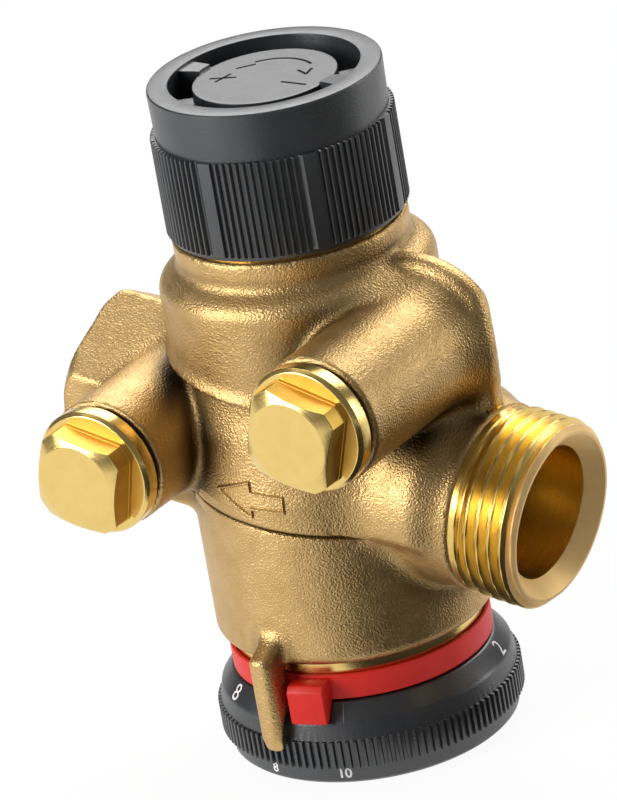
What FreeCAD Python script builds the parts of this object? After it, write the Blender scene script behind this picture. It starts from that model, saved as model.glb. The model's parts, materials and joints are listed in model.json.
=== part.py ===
"""Flow regulating valve with a cap on the actuator thread, two test plugs and a setting wheel below.

Frame: +Z is the main axis with the cap up, the origin lies in the centre of the wheel's flat underside,
the pipe axis lies in the XZ plane and leans, with the threaded inlet at +X and the socket outlet at -X,
and the test plugs face -Y. Millimetres.
"""
import FreeCAD, Part
import math
import os
import re
import Sketcher

doc = FreeCAD.newDocument("flow_regulating_valve")
sheet = doc.addObject("Spreadsheet::Sheet", "Sizes")

SIZES = [
    # pipe axis: height where it crosses the main axis, and its lean
    ("pipe_height", 41.6), ("pipe_lean", 10.0),
    # casting, lower barrel and machined foot
    ("barrel_radius", 19.45), ("barrel_round", 1.7), ("band_radius", 17.6), ("band_height", 1.95),
    ("guide_radius", 16.6), ("guide_length", 3.1), ("foot_gap", 0.6), ("nose_radius", 15.6),
    ("nose_length", 3.8),
    # casting, middle between ledge and skirt, measured across the pipe
    ("ledge_drop", 2.65), ("ledge_radius", 19.8), ("waist_radius", 18.3), ("skirt_rise", 14.7),
    # casting, upper barrel
    ("upper_radius", 19.0), ("shoulder_rise", 13.2), ("shoulder_round", 3.0), ("neck_groove", 15.7),
    ("neck_radius", 16.1), ("neck_rise", 2.0), ("neck_height", 4.4),
    # casting, pipe ends
    ("pipe_radius", 14.6), ("pipe_reach", 24.0), ("hexagon_across", 26.0), ("hexagon_end", 35.3),
    ("hexagon_face", 13.4), ("hexagon_bevel", 1.5),
    ("neck_pipe_radius", 13.1), ("inlet_thread_radius", 13.22), ("thread_start", 28.0), ("thread_end", 37.0),
    ("run_out", 1.0), ("run_out_depth", 1.1), ("thread_bevel", 1.3), ("inlet_bevel", 2.2), ("inlet_bore", 9.28),
    ("inlet_depth", 13.0), ("socket_radius", 9.32), ("socket_depth", 15.0), ("socket_bevel", 1.2),
    ("passage_radius", 6.5),
    ("inlet_passage_end", 12.0), ("outlet_passage_end", 15.6), ("channel_radius", 5.0),
    # casting, test bosses
    ("boss_radius", 9.1), ("left_boss_offset", 18.1), ("left_boss_rise", 7.15), ("left_boss_face", 25.6),
    ("right_boss_offset", 19.5), ("right_boss_rise", 18.15), ("right_boss_face", 27.0),
    ("test_bore_depth", 12.0), ("pilot_radius", 2.0), ("pilot_end", 4.0), ("drill_radius", 1.5),
    # casting, web behind the right boss
    ("web_thickness", 3.0), ("web_radius", 12.2), ("web_side", 10.3), ("web_relief", 0.7), ("web_room", 2.0),
    # casting, pointer fin
    ("fin_angle", -92.6), ("fin_thickness", 3.4), ("fin_round", 1.0), ("fin_radius", 23.4), ("fin_rise", 4.75),
    ("fin_slope", 2.5), ("fin_tip", 2.0), ("fin_overlap", 1.1), ("fin_gap", 0.45),
    # hollow of the casting
    ("chamber_radius", 14.0), ("clamp_rise", 1.65), ("ledge_width", 1.2), ("partition_drop", 7.6),
    ("seat_radius", 7.0), ("partition_rise", 2.4), ("outlet_chamber", 10.0), ("bonnet_rise", 16.4),
    # bonnet with the actuator thread
    ("shank_radius", 12.0), ("actuator_radius", 15.0), ("actuator_length", 10.9), ("bonnet_bevel", 0.8),
    ("spring_bore", 6.5), ("guide_height", 4.0), ("gland_radius", 4.5), ("gland_height", 2.0),
    ("nut_height", 2.5), ("bonnet_groove", 1.6), ("bonnet_seal_rise", 0.8), ("bonnet_seal_width", 2.0),
    # stem and disc
    ("stem_radius", 2.5), ("stem_reach", 1.5), ("running_gap", 0.08), ("spigot_radius", 1.8),
    ("spigot_depth", 1.8), ("collar_drop", 7.5), ("collar_height", 1.5), ("collar_radius", 6.0),
    ("clip_height", 0.8), ("clip_groove", 0.5), ("clip_reach", 1.5),
    ("return_coil", 4.6), ("return_wire", 1.0), ("return_turns", 5.0),
    ("seat_bore", 4.5), ("seat_depth", 6.0), ("seat_rise", 1.0), ("seat_bevel", 0.95),
    ("disc_radius", 6.4), ("disc_height", 3.6), ("disc_lip", 0.4), ("seal_inner", 3.0),
    ("seal_outer", 5.6), ("seal_height", 1.6),
    # cap
    ("cap_gap", 0.5), ("cap_crown", 9.0), ("rib_inset", 0.6), ("rib_height", 13.6), ("rib_radius", 16.6),
    ("rib_depth", 0.4), ("cap_waist", 15.85), ("cap_radius", 16.0), ("cap_edge", 0.4),
    ("slot_outer", 13.02), ("slot_inner", 9.87), ("roof_thickness", 2.5), ("disc_drop", 0.85),
    ("roof_gap", 0.5), ("push_radius", 4.0), ("bridge_width", 3.0), ("bridge_drop", 0.4),
    ("inner_bridge_drop", 2.6), ("bridge_turn", 38.0), ("pad_count", 7), ("pad_ribs", 13), ("pad_turn", -90.0),
    # test plugs
    ("plug_shank", 6.58), ("shank_length", 10.0), ("plug_gap", 1.0), ("plug_collar", 8.9),
    ("collar_width", 2.4), ("collar_bevel", 0.5), ("head_across", 12.4), ("head_corner", 7.65),
    ("head_height", 4.1), ("head_face", 5.5), ("head_bevel", 0.65), ("plug_seal_radius", 8.5),
    ("left_plug_turn", -14.0), ("right_plug_turn", -17.0),
    # bottom cover and diaphragm
    ("cover_inset", 0.5), ("clamp_height", 2.7), ("cover_floor", 3.6), ("cover_rim", 3.0), ("hub_radius", 7.0),
    ("hub_rise", 1.5), ("cover_seal_rise", 3.0), ("cover_seal_width", 1.8), ("cover_groove", 1.6),
    ("clamp_width", 2.5), ("sheet_thickness", 0.8), ("roll_height", 5.8), ("roll_inset", 1.9),
    ("cup_bore", 4.6), ("cup_radius", 5.6), ("cup_gap", 0.5), ("cup_flange", 9.5),
    ("flange_height", 1.2), ("cup_nut_radius", 7.6), ("cup_nut_height", 1.8),
    ("regulator_coil", 8.6), ("regulator_wire", 1.2), ("regulator_turns", 4.0),
    # setting spindle and sleeve
    ("spindle_radius", 3.5), ("tenon_radius", 3.0), ("spindle_neck", 2.6), ("spindle_reach", 3.0),
    ("spindle_seal_rise", 1.5), ("spindle_seal_width", 1.6), ("spindle_groove", 0.9),
    ("spindle_clip_gap", 0.3), ("spindle_clip_reach", 0.7), ("sleeve_radius", 4.2), ("sleeve_gap", 2.0),
    ("window_rise", 0.5),
    # hand wheel
    ("wheel_floor", 2.6), ("lip_radius", 20.3), ("lip_round", 1.5),
    ("knurl_low", 2.8), ("knurl_top", 6.9), ("knurl_radius", 21.25), ("knurl_depth", 0.4),
    ("knurl_count", 120), ("cone_height", 9.3), ("cone_radius", 20.3), ("wheel_top", 11.7),
    ("wheel_mouth", 18.3), ("wheel_gap", 0.5), ("wheel_hub", 6.0), ("hub_height", 8.2),
    ("screw_recess", 5.5), ("recess_depth", 2.0), ("tenon_base", 3.4), ("screw_radius", 1.6),
    ("screw_gap", 0.1), ("screw_head", 4.0), ("screw_head_height", 1.4), ("screw_end", 8.0),
    ("slot_width", 0.9), ("slot_depth", 0.7), ("screw_cover_height", 0.5),
    # stops between wheel and cover
    ("stop_inner", 8.0), ("stop_outer", 12.0), ("wheel_stop_top", 6.5), ("cover_stop_base", 5.5),
    ("wheel_stop_angle", 12.0), ("cover_stop_angle", 12.0), ("cover_stop_turn", -93.5),
    ("wheel_stop_turn", -36.5),
    # locking ring
    ("ring_gap", 0.3), ("ring_radius", 18.2), ("ring_height", 3.65), ("ring_flange", 1.7),
    ("tab_turn", -78.3), ("tab_width", 5.2), ("tab_radius", 21.3), ("tab_drop", 0.35), ("tab_hang", 2.3),
    ("tab_gap", 0.4),
    # overshoot of cutting tools past a face
    ("cut_over", 1.0),
]
for row, (alias, number) in enumerate(SIZES, 1):
    sheet.set("A%d" % row, alias)
    sheet.set("B%d" % row, str(number))
    sheet.setAlias("B%d" % row, alias)
doc.recompute()


# heights above the wheel's underside, each from the piece that carries it
HEIGHTS = {
    "ring_base": "wheel_top + ring_gap",
    "ring_top": "ring_base + ring_height",
    "tab_top": "ring_top - tab_drop",
    "tab_base": "ring_base - tab_hang",
    "guide_base": "wheel_top + foot_gap",
    "nose_base": "guide_base - nose_length",
    "band_base": "guide_base + guide_length",
    "barrel_base": "band_base + band_height",
    "fin_top": "barrel_base + fin_rise",
    "fin_base": "knurl_top - fin_overlap",
    "clamp_ledge": "barrel_base + clamp_rise",
    "cover_base": "nose_base + cover_inset",
    "cover_top": "clamp_ledge - sheet_thickness - clamp_height",
    "cover_seal_low": "cover_base + cover_seal_rise",
    "hub_top": "cover_top + hub_rise",
    "spindle_seal_low": "cover_base + spindle_seal_rise",
    "spindle_clip_low": "hub_top + spindle_clip_gap",
    "roll_top": "clamp_ledge + roll_height",
    "chamber_top": "pipe_height - partition_drop",
    "cup_top": "chamber_top - cup_gap",
    "partition_top": "pipe_height + partition_rise",
    "seat_low": "partition_top - seat_depth",
    "seat_top": "partition_top + seat_rise",
    "spindle_top": "seat_low + spindle_reach",
    "sleeve_top": "seat_top - sleeve_gap",
    "window_low": "seat_low + window_rise",
    "left_boss_height": "pipe_height + left_boss_rise",
    "right_boss_height": "pipe_height + right_boss_rise",
    "bonnet_base": "pipe_height + bonnet_rise",
    "shoulder_height": "bonnet_base + shoulder_rise",
    "casting_top": "shoulder_height + neck_height",
    "gland_floor": "bonnet_base + guide_height",
    "gland_top": "gland_floor + gland_height",
    "bonnet_seal_low": "shoulder_height + bonnet_seal_rise",
    "bonnet_top": "casting_top + actuator_length",
    "collar_low": "bonnet_top - collar_drop",
    "stem_top": "bonnet_top + stem_reach",
    "cap_base": "casting_top + cap_gap",
    "rib_low": "cap_base + rib_inset",
    "rib_top": "rib_low + rib_height",
    "cap_top": "stem_top + cap_crown",
    "slot_floor": "stem_top + roof_gap + roof_thickness",
}


def size(text):
    """The text as an expression with every size name tied to the sheet and every height worked out from sizes."""
    def tied(found):
        name = found.group(0)
        return "(%s)" % size(HEIGHTS[name]) if name in HEIGHTS else "Sizes." + name
    return re.sub(r"[a-z]+(?:_[a-z]+)+", tied, text)


def value(text):
    """The present number of a size text."""
    return float(sheet.evalExpression(size(text)))


def place(piece, axis, angle, base=("0", "0", "0")):
    """Places a piece: turned by angle about a frame axis, then moved to base, all as size texts."""
    piece.Placement = FreeCAD.Placement(FreeCAD.Vector(), FreeCAD.Rotation(FreeCAD.Vector(*axis), 1.0))
    piece.setExpression("Placement.Rotation.Angle", size(angle))
    for name, text in zip("xyz", base):
        piece.setExpression("Placement.Base." + name, size(text))
    return piece


def toward_inlet(piece):
    """Lays a piece's own axis along the pipe toward the inlet."""
    return place(piece, (0, 1, 0), "90 + pipe_lean", ("0", "0", "pipe_height"))


def toward_outlet(piece):
    """Lays a piece's own axis along the pipe toward the outlet."""
    return place(piece, (0, 1, 0), "pipe_lean - 90", ("0", "0", "pipe_height"))


def sketch_in(body, name, role, corners):
    """A closed outline of size-text corners in one of the body's origin planes, each corner held by the sheet."""
    sketch = body.newObject("Sketcher::SketchObject", name)
    plane = [item for item in body.Origin.OriginFeatures if item.Role == role][0]
    sketch.AttachmentSupport = [(plane, "")]
    sketch.MapMode = "FlatFace"
    spots = [FreeCAD.Vector(value(across), value(along), 0) for across, along in corners]
    for first, second in zip(spots, spots[1:] + spots[:1]):
        sketch.addGeometry(Part.LineSegment(first, second))
    for line in range(len(spots)):
        sketch.addConstraint(Sketcher.Constraint("Coincident", line, 2, (line + 1) % len(spots), 1))
    for line, corner in enumerate(corners):
        for kind, axis, text in (("DistanceX", -2, corner[0]), ("DistanceY", -1, corner[1])):
            if text == "0":
                sketch.addConstraint(Sketcher.Constraint("PointOnObject", line, 1, axis))
            else:
                held = sketch.addConstraint(Sketcher.Constraint(kind, -1, 1, line, 1, value(text)))
                sketch.setExpression("Constraints[%d]" % held, size(text))
    return sketch


def turned(label, outline, rounds=()):
    """A body turned about its own Z axis.

    outline holds (radius, height) size texts; rounds holds (radius, height, fillet) for corners to be rounded.
    """
    body = doc.addObject("PartDesign::Body", label)
    sketch = sketch_in(body, label + "_profile", "XZ_Plane", outline)
    spin = body.newObject("PartDesign::Revolution", label + "_turn")
    spin.Profile = sketch
    spin.ReferenceAxis = (sketch, ["V_Axis"])
    spin.Angle = 360
    body.Tip = spin
    doc.recompute()
    for count, (radius, height, fillet) in enumerate(rounds):
        tip = body.Tip
        edges = []
        for index, edge in enumerate(tip.Shape.Edges, 1):
            spot = edge.Vertexes[0].Point
            if abs(math.hypot(spot.x, spot.y) - value(radius)) < 1e-4 and abs(spot.z - value(height)) < 1e-4:
                if edge.Curve.TypeId == "Part::GeomCircle":
                    edges.append("Edge%d" % index)
        smooth = body.newObject("PartDesign::Fillet", "%s_round_%d" % (label, count))
        smooth.Base = (tip, edges)
        smooth.setExpression("Radius", size(fillet))
        body.Tip = smooth
        doc.recompute()
    return body


def cylinder(name, radius, height):
    """A plain cylinder on its own Z axis."""
    piece = doc.addObject("Part::Cylinder", name)
    piece.setExpression("Radius", size(radius))
    piece.setExpression("Height", size(height))
    return piece


def box(name, length, width, height):
    """A plain box from its own corner."""
    piece = doc.addObject("Part::Box", name)
    piece.setExpression("Length", size(length))
    piece.setExpression("Width", size(width))
    piece.setExpression("Height", size(height))
    return piece


def fused(name, pieces):
    """The union of pieces."""
    piece = doc.addObject("Part::MultiFuse", name)
    piece.Shapes = pieces
    return piece


def cut(name, base, tool):
    """What is left of base outside tool."""
    piece = doc.addObject("Part::Cut", name)
    piece.Base = base
    piece.Tool = tool
    return piece


def common(name, first, second):
    """What first and second share."""
    piece = doc.addObject("Part::MultiCommon", name)
    piece.Shapes = [first, second]
    return piece


def plate(name, outline, thickness, turn, outer=(), fillet="0"):
    """A radial plate: (radius, height) outline, thickness across, turned about the main axis.

    The edges between the outline corners named in outer are rounded with the fillet on both flat sides.
    """
    body = doc.addObject("PartDesign::Body", name)
    pad = body.newObject("PartDesign::Pad", name + "_pad")
    pad.Profile = sketch_in(body, name + "_profile", "XZ_Plane", outline)
    pad.Midplane = True
    pad.setExpression("Length", size(thickness))
    body.Tip = pad
    if outer:
        doc.recompute()
        spots = [(value(across), value(along)) for across, along in outer]
        edges = []
        for index, edge in enumerate(pad.Shape.Edges, 1):
            ends = [vertex.Point for vertex in edge.Vertexes]
            named = all(min(math.dist((end.x, end.z), spot) for spot in spots) < 1e-4 for end in ends)
            if named and abs(ends[0].y - ends[1].y) < 1e-4:
                edges.append("Edge%d" % index)
        smooth = body.newObject("PartDesign::Fillet", name + "_round")
        smooth.Base = (pad, edges)
        smooth.setExpression("Radius", size(fillet))
        body.Tip = smooth
    return place(body, (0, 0, 1), turn)


def sector(name, inner, outer, low, high, angle, turn):
    """A part of a ring: angle wide, its middle at turn."""
    whole = cylinder(name + "_outer", outer, "%s - %s" % (high, low))
    whole.setExpression("Angle", size(angle))
    place(whole, (0, 0, 1), "%s - %s / 2" % (turn, angle), ("0", "0", low))
    hollow = cylinder(name + "_inner", inner, high)
    return cut(name, whole, hollow)


def coil(label, radius, wire, low, high, turns):
    """A compression spring of square wire wound between two heights."""
    pitch = (value(high) - value(low) - value(wire)) / value(turns)
    path = Part.makeHelix(pitch, pitch * value(turns), value(radius))
    half = value(wire) / 2
    start = value(radius)
    corners = [(start - half, -half), (start + half, -half), (start + half, half), (start - half, half)]
    section = Part.makePolygon([FreeCAD.Vector(x, 0, z) for x, z in corners + corners[:1]])
    spring = doc.addObject("Part::Feature", label)
    spring.Shape = Part.Wire(path.Edges).makePipeShell([section], True, True)
    spring.Placement = FreeCAD.Placement(FreeCAD.Vector(0, 0, value(low) + half), FreeCAD.Rotation())
    return spring


def ribbed_band(name, crest, depth, low, high, inner, flanks):
    """A band with rounded-off ribs: flanks lists (angle, at crest) round the main axis."""
    spots = []
    for angle, at_crest in flanks:
        reach = value(crest) if at_crest else value(crest) - value(depth)
        turn = math.radians(angle)
        spots.append(FreeCAD.Vector(reach * math.cos(turn), reach * math.sin(turn), value(low)))
    face = Part.Face(Part.makePolygon(spots + spots[:1]))
    rise = value(high) - value(low)
    solid = face.extrude(FreeCAD.Vector(0, 0, rise))
    hole = Part.makeCylinder(value(inner), rise, FreeCAD.Vector(0, 0, value(low)))
    band = doc.addObject("Part::Feature", name)
    band.Shape = solid.cut(hole)
    return band


def even_ribs(count):
    """Flanks of ribs all round: half crest, half groove."""
    step = 360.0 / count
    return [(step * (rib + part), part < 0.5) for rib in range(count) for part in (0.0, 0.45, 0.55, 0.9)]


def padded_ribs(pads, ribs, turn):
    """Flanks of ribs in groups between plain pads."""
    sweep = 360.0 / pads
    step = sweep / (ribs + 2)
    flanks = []
    for pad in range(pads):
        start = turn + sweep * pad - step
        flanks += [(start + step * part, True) for part in (0.05, 0.68, 1.32, 1.95)]
        for rib in range(ribs):
            at = start + step * (2 + rib)
            flanks += [(at + step * 0.08, False), (at + step * 0.42, False)]
            flanks += [(at + step * 0.55, True), (at + step * 0.95, True)] if rib < ribs - 1 else []
    return flanks


# casting: lower barrel with the machined foot, ending at the ledge across the pipe
barrel = turned("barrel", [
    ("0", "nose_base"), ("nose_radius", "nose_base"), ("nose_radius", "guide_base"),
    ("guide_radius", "guide_base"), ("guide_radius", "band_base"), ("band_radius", "band_base"),
    ("band_radius", "barrel_base"), ("barrel_radius", "barrel_base"),
    ("barrel_radius", "pipe_height + ledge_radius * tan(pipe_lean)"),
    ("0", "pipe_height + ledge_radius * tan(pipe_lean)")],
    [("barrel_radius", "barrel_base", "barrel_round")])
above_ledge = box("above_ledge", "4 * ledge_radius", "4 * ledge_radius", "2 * ledge_radius")
place(above_ledge, (0, 1, 0), "pipe_lean", (
    "-2 * ledge_radius * cos(pipe_lean) - ledge_drop * sin(pipe_lean)", "-2 * ledge_radius",
    "pipe_height + 2 * ledge_radius * sin(pipe_lean) - ledge_drop * cos(pipe_lean)"))
lower = cut("lower", barrel, above_ledge)

# casting: waist between ledge and skirt, drawn in toward the skirt
waist_cone = turned("waist_cone", [
    ("0", "pipe_height - ledge_drop - ledge_radius * tan(pipe_lean)"),
    ("ledge_radius", "pipe_height - ledge_drop - ledge_radius * tan(pipe_lean)"),
    ("ledge_radius", "pipe_height"),
    ("waist_radius", "pipe_height + skirt_rise"),
    ("waist_radius", "pipe_height + skirt_rise + ledge_radius * tan(pipe_lean)"),
    ("0", "pipe_height + skirt_rise + ledge_radius * tan(pipe_lean)")])
waist = common("waist", waist_cone, above_ledge)

# casting: upper barrel with skirt, shoulder and neck
upper_turn = turned("upper_turn", [
    ("0", "pipe_height"), ("upper_radius", "pipe_height"), ("upper_radius", "shoulder_height"),
    ("neck_groove", "shoulder_height"), ("neck_radius", "shoulder_height + neck_rise"),
    ("neck_radius", "casting_top"), ("0", "casting_top")],
    [("upper_radius", "shoulder_height", "shoulder_round")])
below_skirt = box("below_skirt", "4 * ledge_radius", "4 * ledge_radius", "2 * ledge_radius")
place(below_skirt, (0, 1, 0), "pipe_lean", (
    "-2 * ledge_radius * cos(pipe_lean) + (skirt_rise - 2 * ledge_radius) * sin(pipe_lean)", "-2 * ledge_radius",
    "pipe_height + 2 * ledge_radius * sin(pipe_lean) + (skirt_rise - 2 * ledge_radius) * cos(pipe_lean)"))
upper = cut("upper", upper_turn, below_skirt)

# casting: pipe above the ledge, hexagon socket end and threaded end
pipe_round = place(cylinder("pipe_round", "pipe_radius", "2 * pipe_reach"), (0, 1, 0), "90 + pipe_lean", (
    "-pipe_reach * cos(pipe_lean)", "0", "pipe_height + pipe_reach * sin(pipe_lean)"))
pipe_upper = common("pipe_upper", pipe_round, above_ledge)
hexagon_bar = doc.addObject("Part::Prism", "hexagon_bar")
hexagon_bar.Polygon = 6
hexagon_bar.setExpression("Circumradius", size("hexagon_across / (2 * cos(30))"))
hexagon_bar.setExpression("Height", size("hexagon_end"))
toward_outlet(hexagon_bar)
hexagon_limit = toward_outlet(turned("hexagon_limit", [
    ("0", "0"), ("hexagon_across", "0"), ("hexagon_across", "hexagon_end - hexagon_bevel"),
    ("hexagon_across / (2 * cos(30))", "hexagon_end - hexagon_bevel"),
    ("hexagon_face", "hexagon_end"), ("0", "hexagon_end")]))
hexagon = common("hexagon", hexagon_bar, hexagon_limit)
inlet_end = toward_inlet(turned("inlet_end", [
    ("0", "0"), ("neck_pipe_radius", "0"), ("neck_pipe_radius", "thread_start - run_out"),
    ("inlet_thread_radius - run_out_depth", "thread_start - run_out"),
    ("inlet_thread_radius - run_out_depth", "thread_start"),
    ("inlet_thread_radius", "thread_start"), ("inlet_thread_radius", "thread_end - thread_bevel"),
    ("inlet_thread_radius - thread_bevel", "thread_end"), ("0", "thread_end")]))

# casting: test bosses and the web that carries the right one
left_boss = place(cylinder("left_boss", "boss_radius", "left_boss_face"), (1, 0, 0), "90", (
    "-left_boss_offset", "0", "left_boss_height"))
right_boss = place(cylinder("right_boss", "boss_radius", "right_boss_face"), (1, 0, 0), "90", (
    "right_boss_offset", "0", "right_boss_height"))
web_round = place(cylinder("web_round", "web_radius", "web_thickness"), (1, 0, 0), "90", (
    "right_boss_offset", "web_thickness / 2", "right_boss_height"))
web_foot = place(box("web_foot", "right_boss_offset + web_side", "web_thickness",
                     "right_boss_height - pipe_height + pipe_radius / 2"), (0, 0, 1), "0", (
    "0", "-web_thickness / 2", "pipe_height - pipe_radius / 2"))
web_whole = fused("web_whole", [web_round, web_foot])
web_side_cut = place(box("web_side_cut", "web_radius", "2 * web_thickness", "2 * web_radius + pipe_height"),
                     (0, 0, 1), "0", ("right_boss_offset + web_side", "-web_thickness", "pipe_height / 2"))
thread_room = toward_inlet(turned("thread_room", [
    ("0", "thread_start - web_room"), ("inlet_thread_radius + web_relief", "thread_start - web_room"),
    ("inlet_thread_radius + web_relief", "thread_end + cut_over"), ("0", "thread_end + cut_over")]))
web = cut("web", web_whole, fused("web_cuts", [web_side_cut, thread_room]))

# casting: pointer fin that reaches down over the wheel with a gap all along
fin_edge = [
    ("barrel_radius - fin_gap", "fin_top"), ("fin_radius", "fin_top - fin_slope"),
    ("fin_radius", "fin_base + fin_tip"), ("fin_radius - fin_tip / 3", "fin_base")]
fin = plate("fin", [
    ("chamber_radius + fin_slope", "barrel_base + barrel_round"), ("chamber_radius + fin_slope", "fin_top"),
    *fin_edge, ("knurl_radius + fin_gap", "fin_base"), ("knurl_radius + fin_gap", "knurl_top + fin_gap"),
    ("cone_radius + fin_gap", "cone_height + fin_gap"), ("ring_radius + fin_gap", "wheel_top + fin_gap"),
    ("ring_radius + fin_gap", "barrel_base + barrel_round")], "fin_thickness", "fin_angle", fin_edge, "fin_round")

casting = fused("casting", [lower, waist, upper, pipe_upper, hexagon, inlet_end, left_boss, right_boss, web, fin])

# hollow of the casting: chambers on the main axis, pipe bores, channels to the chambers, test bores
chambers = turned("chambers", [
    ("0", "nose_base - cut_over"), ("chamber_radius", "nose_base - cut_over"),
    ("chamber_radius", "clamp_ledge"), ("chamber_radius - ledge_width", "clamp_ledge"),
    ("chamber_radius - ledge_width", "chamber_top"), ("seat_radius", "chamber_top"),
    ("seat_radius", "partition_top"), ("outlet_chamber", "partition_top"), ("outlet_chamber", "bonnet_base"),
    ("shank_radius", "bonnet_base"), ("shank_radius", "casting_top + cut_over"), ("0", "casting_top + cut_over")])
inlet_hole = toward_inlet(turned("inlet_hole", [
    ("0", "inlet_passage_end"), ("passage_radius", "inlet_passage_end"),
    ("passage_radius", "thread_end - inlet_depth"), ("inlet_bore", "thread_end - inlet_depth"),
    ("inlet_bore", "thread_end - inlet_bevel"), ("inlet_bore + inlet_bevel", "thread_end"),
    ("inlet_bore + inlet_bevel", "thread_end + cut_over"), ("0", "thread_end + cut_over")]))
outlet_hole = toward_outlet(turned("outlet_hole", [
    ("0", "outlet_passage_end"), ("passage_radius", "outlet_passage_end"),
    ("passage_radius", "hexagon_end - socket_depth"), ("socket_radius", "hexagon_end - socket_depth"),
    ("socket_radius", "hexagon_end - socket_bevel"), ("socket_radius + socket_bevel", "hexagon_end"),
    ("socket_radius + socket_bevel", "hexagon_end + cut_over"), ("0", "hexagon_end + cut_over")]))
inlet_channel = place(cylinder("inlet_channel", "channel_radius", "inlet_passage_end"), (0, 1, 0), "240", (
    "inlet_passage_end + channel_radius", "0", "pipe_height - 4 * sin(pipe_lean) * channel_radius"))
outlet_channel = place(cylinder("outlet_channel", "channel_radius", "outlet_passage_end"), (0, 1, 0), "70", (
    "-outlet_passage_end", "0", "pipe_height + outlet_passage_end * sin(pipe_lean) + channel_radius / 2"))
left_test_bore = place(cylinder("left_test_bore", "plug_shank", "test_bore_depth + cut_over"), (1, 0, 0), "90", (
    "-left_boss_offset", "test_bore_depth - left_boss_face", "left_boss_height"))
right_test_bore = place(cylinder("right_test_bore", "plug_shank", "test_bore_depth + cut_over"), (1, 0, 0), "90", (
    "right_boss_offset", "test_bore_depth - right_boss_face", "right_boss_height"))
left_pilot = place(cylinder("left_pilot", "pilot_radius", "left_boss_face - pilot_end"), (1, 0, 0), "90", (
    "-left_boss_offset", "-pilot_end", "left_boss_height"))
right_pilot = place(cylinder("right_pilot", "pilot_radius", "right_boss_face - pilot_end"), (1, 0, 0), "90", (
    "right_boss_offset", "-pilot_end", "right_boss_height"))
right_drill = place(cylinder("right_drill", "drill_radius", "right_boss_height - pipe_height + passage_radius / 2"),
                    (0, 0, 1), "0", ("right_boss_offset", "-pilot_end - 2 * drill_radius",
                                     "pipe_height - passage_radius / 2"))
hollow = fused("hollow", [chambers, inlet_hole, outlet_hole, inlet_channel, outlet_channel, left_test_bore,
                          right_test_bore, left_pilot, right_pilot, right_drill])
valve_body = cut("valve_body", casting, hollow)

# bonnet with the actuator thread, its seals and the gland nut round the stem
bonnet = turned("bonnet", [
    ("stem_radius + running_gap", "bonnet_base"), ("shank_radius", "bonnet_base"),
    ("shank_radius", "bonnet_seal_low"), ("shank_radius - bonnet_groove", "bonnet_seal_low"),
    ("shank_radius - bonnet_groove", "bonnet_seal_low + bonnet_seal_width"),
    ("shank_radius", "bonnet_seal_low + bonnet_seal_width"), ("shank_radius", "casting_top"),
    ("actuator_radius", "casting_top"), ("actuator_radius", "bonnet_top - bonnet_bevel"),
    ("actuator_radius - bonnet_bevel", "bonnet_top"), ("spring_bore", "bonnet_top"),
    ("spring_bore", "gland_top"), ("gland_radius", "gland_top"), ("gland_radius", "gland_floor"),
    ("stem_radius + running_gap", "gland_floor")])
bonnet_seal = turned("bonnet_seal", [
    ("shank_radius - bonnet_groove", "bonnet_seal_low"), ("shank_radius", "bonnet_seal_low"),
    ("shank_radius", "bonnet_seal_low + bonnet_seal_width"),
    ("shank_radius - bonnet_groove", "bonnet_seal_low + bonnet_seal_width")])
gland_seal = turned("gland_seal", [
    ("stem_radius + running_gap", "gland_floor"), ("gland_radius", "gland_floor"),
    ("gland_radius", "gland_top"), ("stem_radius + running_gap", "gland_top")])
gland_nut = turned("gland_nut", [
    ("stem_radius + running_gap", "gland_top"), ("spring_bore", "gland_top"),
    ("spring_bore", "gland_top + nut_height"), ("stem_radius + running_gap", "gland_top + nut_height")])
seat_ring = turned("seat_ring", [
    ("seat_bore", "seat_low"), ("seat_radius", "seat_low"), ("seat_radius", "seat_top - seat_bevel"),
    ("seat_radius - seat_bevel", "seat_top"), ("seat_bore", "seat_top")])

# stem with its collar, clip and spring, and the disc with its seal on the seat
stem = turned("stem", [
    ("0", "seat_top + disc_height - spigot_depth"), ("spigot_radius", "seat_top + disc_height - spigot_depth"),
    ("spigot_radius", "seat_top + disc_height"), ("stem_radius", "seat_top + disc_height"),
    ("stem_radius", "collar_low + collar_height"), ("stem_radius - clip_groove", "collar_low + collar_height"),
    ("stem_radius - clip_groove", "collar_low + collar_height + clip_height"),
    ("stem_radius", "collar_low + collar_height + clip_height"), ("stem_radius", "stem_top"), ("0", "stem_top")])
spring_collar = turned("spring_collar", [
    ("stem_radius", "collar_low"), ("collar_radius", "collar_low"),
    ("collar_radius", "collar_low + collar_height"), ("stem_radius", "collar_low + collar_height")])
collar_clip = turned("collar_clip", [
    ("stem_radius - clip_groove", "collar_low + collar_height"),
    ("stem_radius + clip_reach", "collar_low + collar_height"),
    ("stem_radius + clip_reach", "collar_low + collar_height + clip_height"),
    ("stem_radius - clip_groove", "collar_low + collar_height + clip_height")])
return_spring = coil("return_spring", "return_coil", "return_wire", "gland_top + nut_height", "collar_low",
                     "return_turns")
valve_disc = turned("valve_disc", [
    ("0", "seat_top + disc_lip"), ("seal_inner", "seat_top + disc_lip"), ("seal_inner", "seat_top + seal_height"),
    ("seal_outer", "seat_top + seal_height"), ("seal_outer", "seat_top + disc_lip"),
    ("disc_radius", "seat_top + disc_lip"), ("disc_radius", "seat_top + disc_height"),
    ("spigot_radius", "seat_top + disc_height"), ("spigot_radius", "seat_top + disc_height - spigot_depth"),
    ("0", "seat_top + disc_height - spigot_depth")])
disc_seal = turned("disc_seal", [
    ("seal_inner", "seat_top"), ("seal_outer", "seat_top"), ("seal_outer", "seat_top + seal_height"),
    ("seal_inner", "seat_top + seal_height")])

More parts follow.
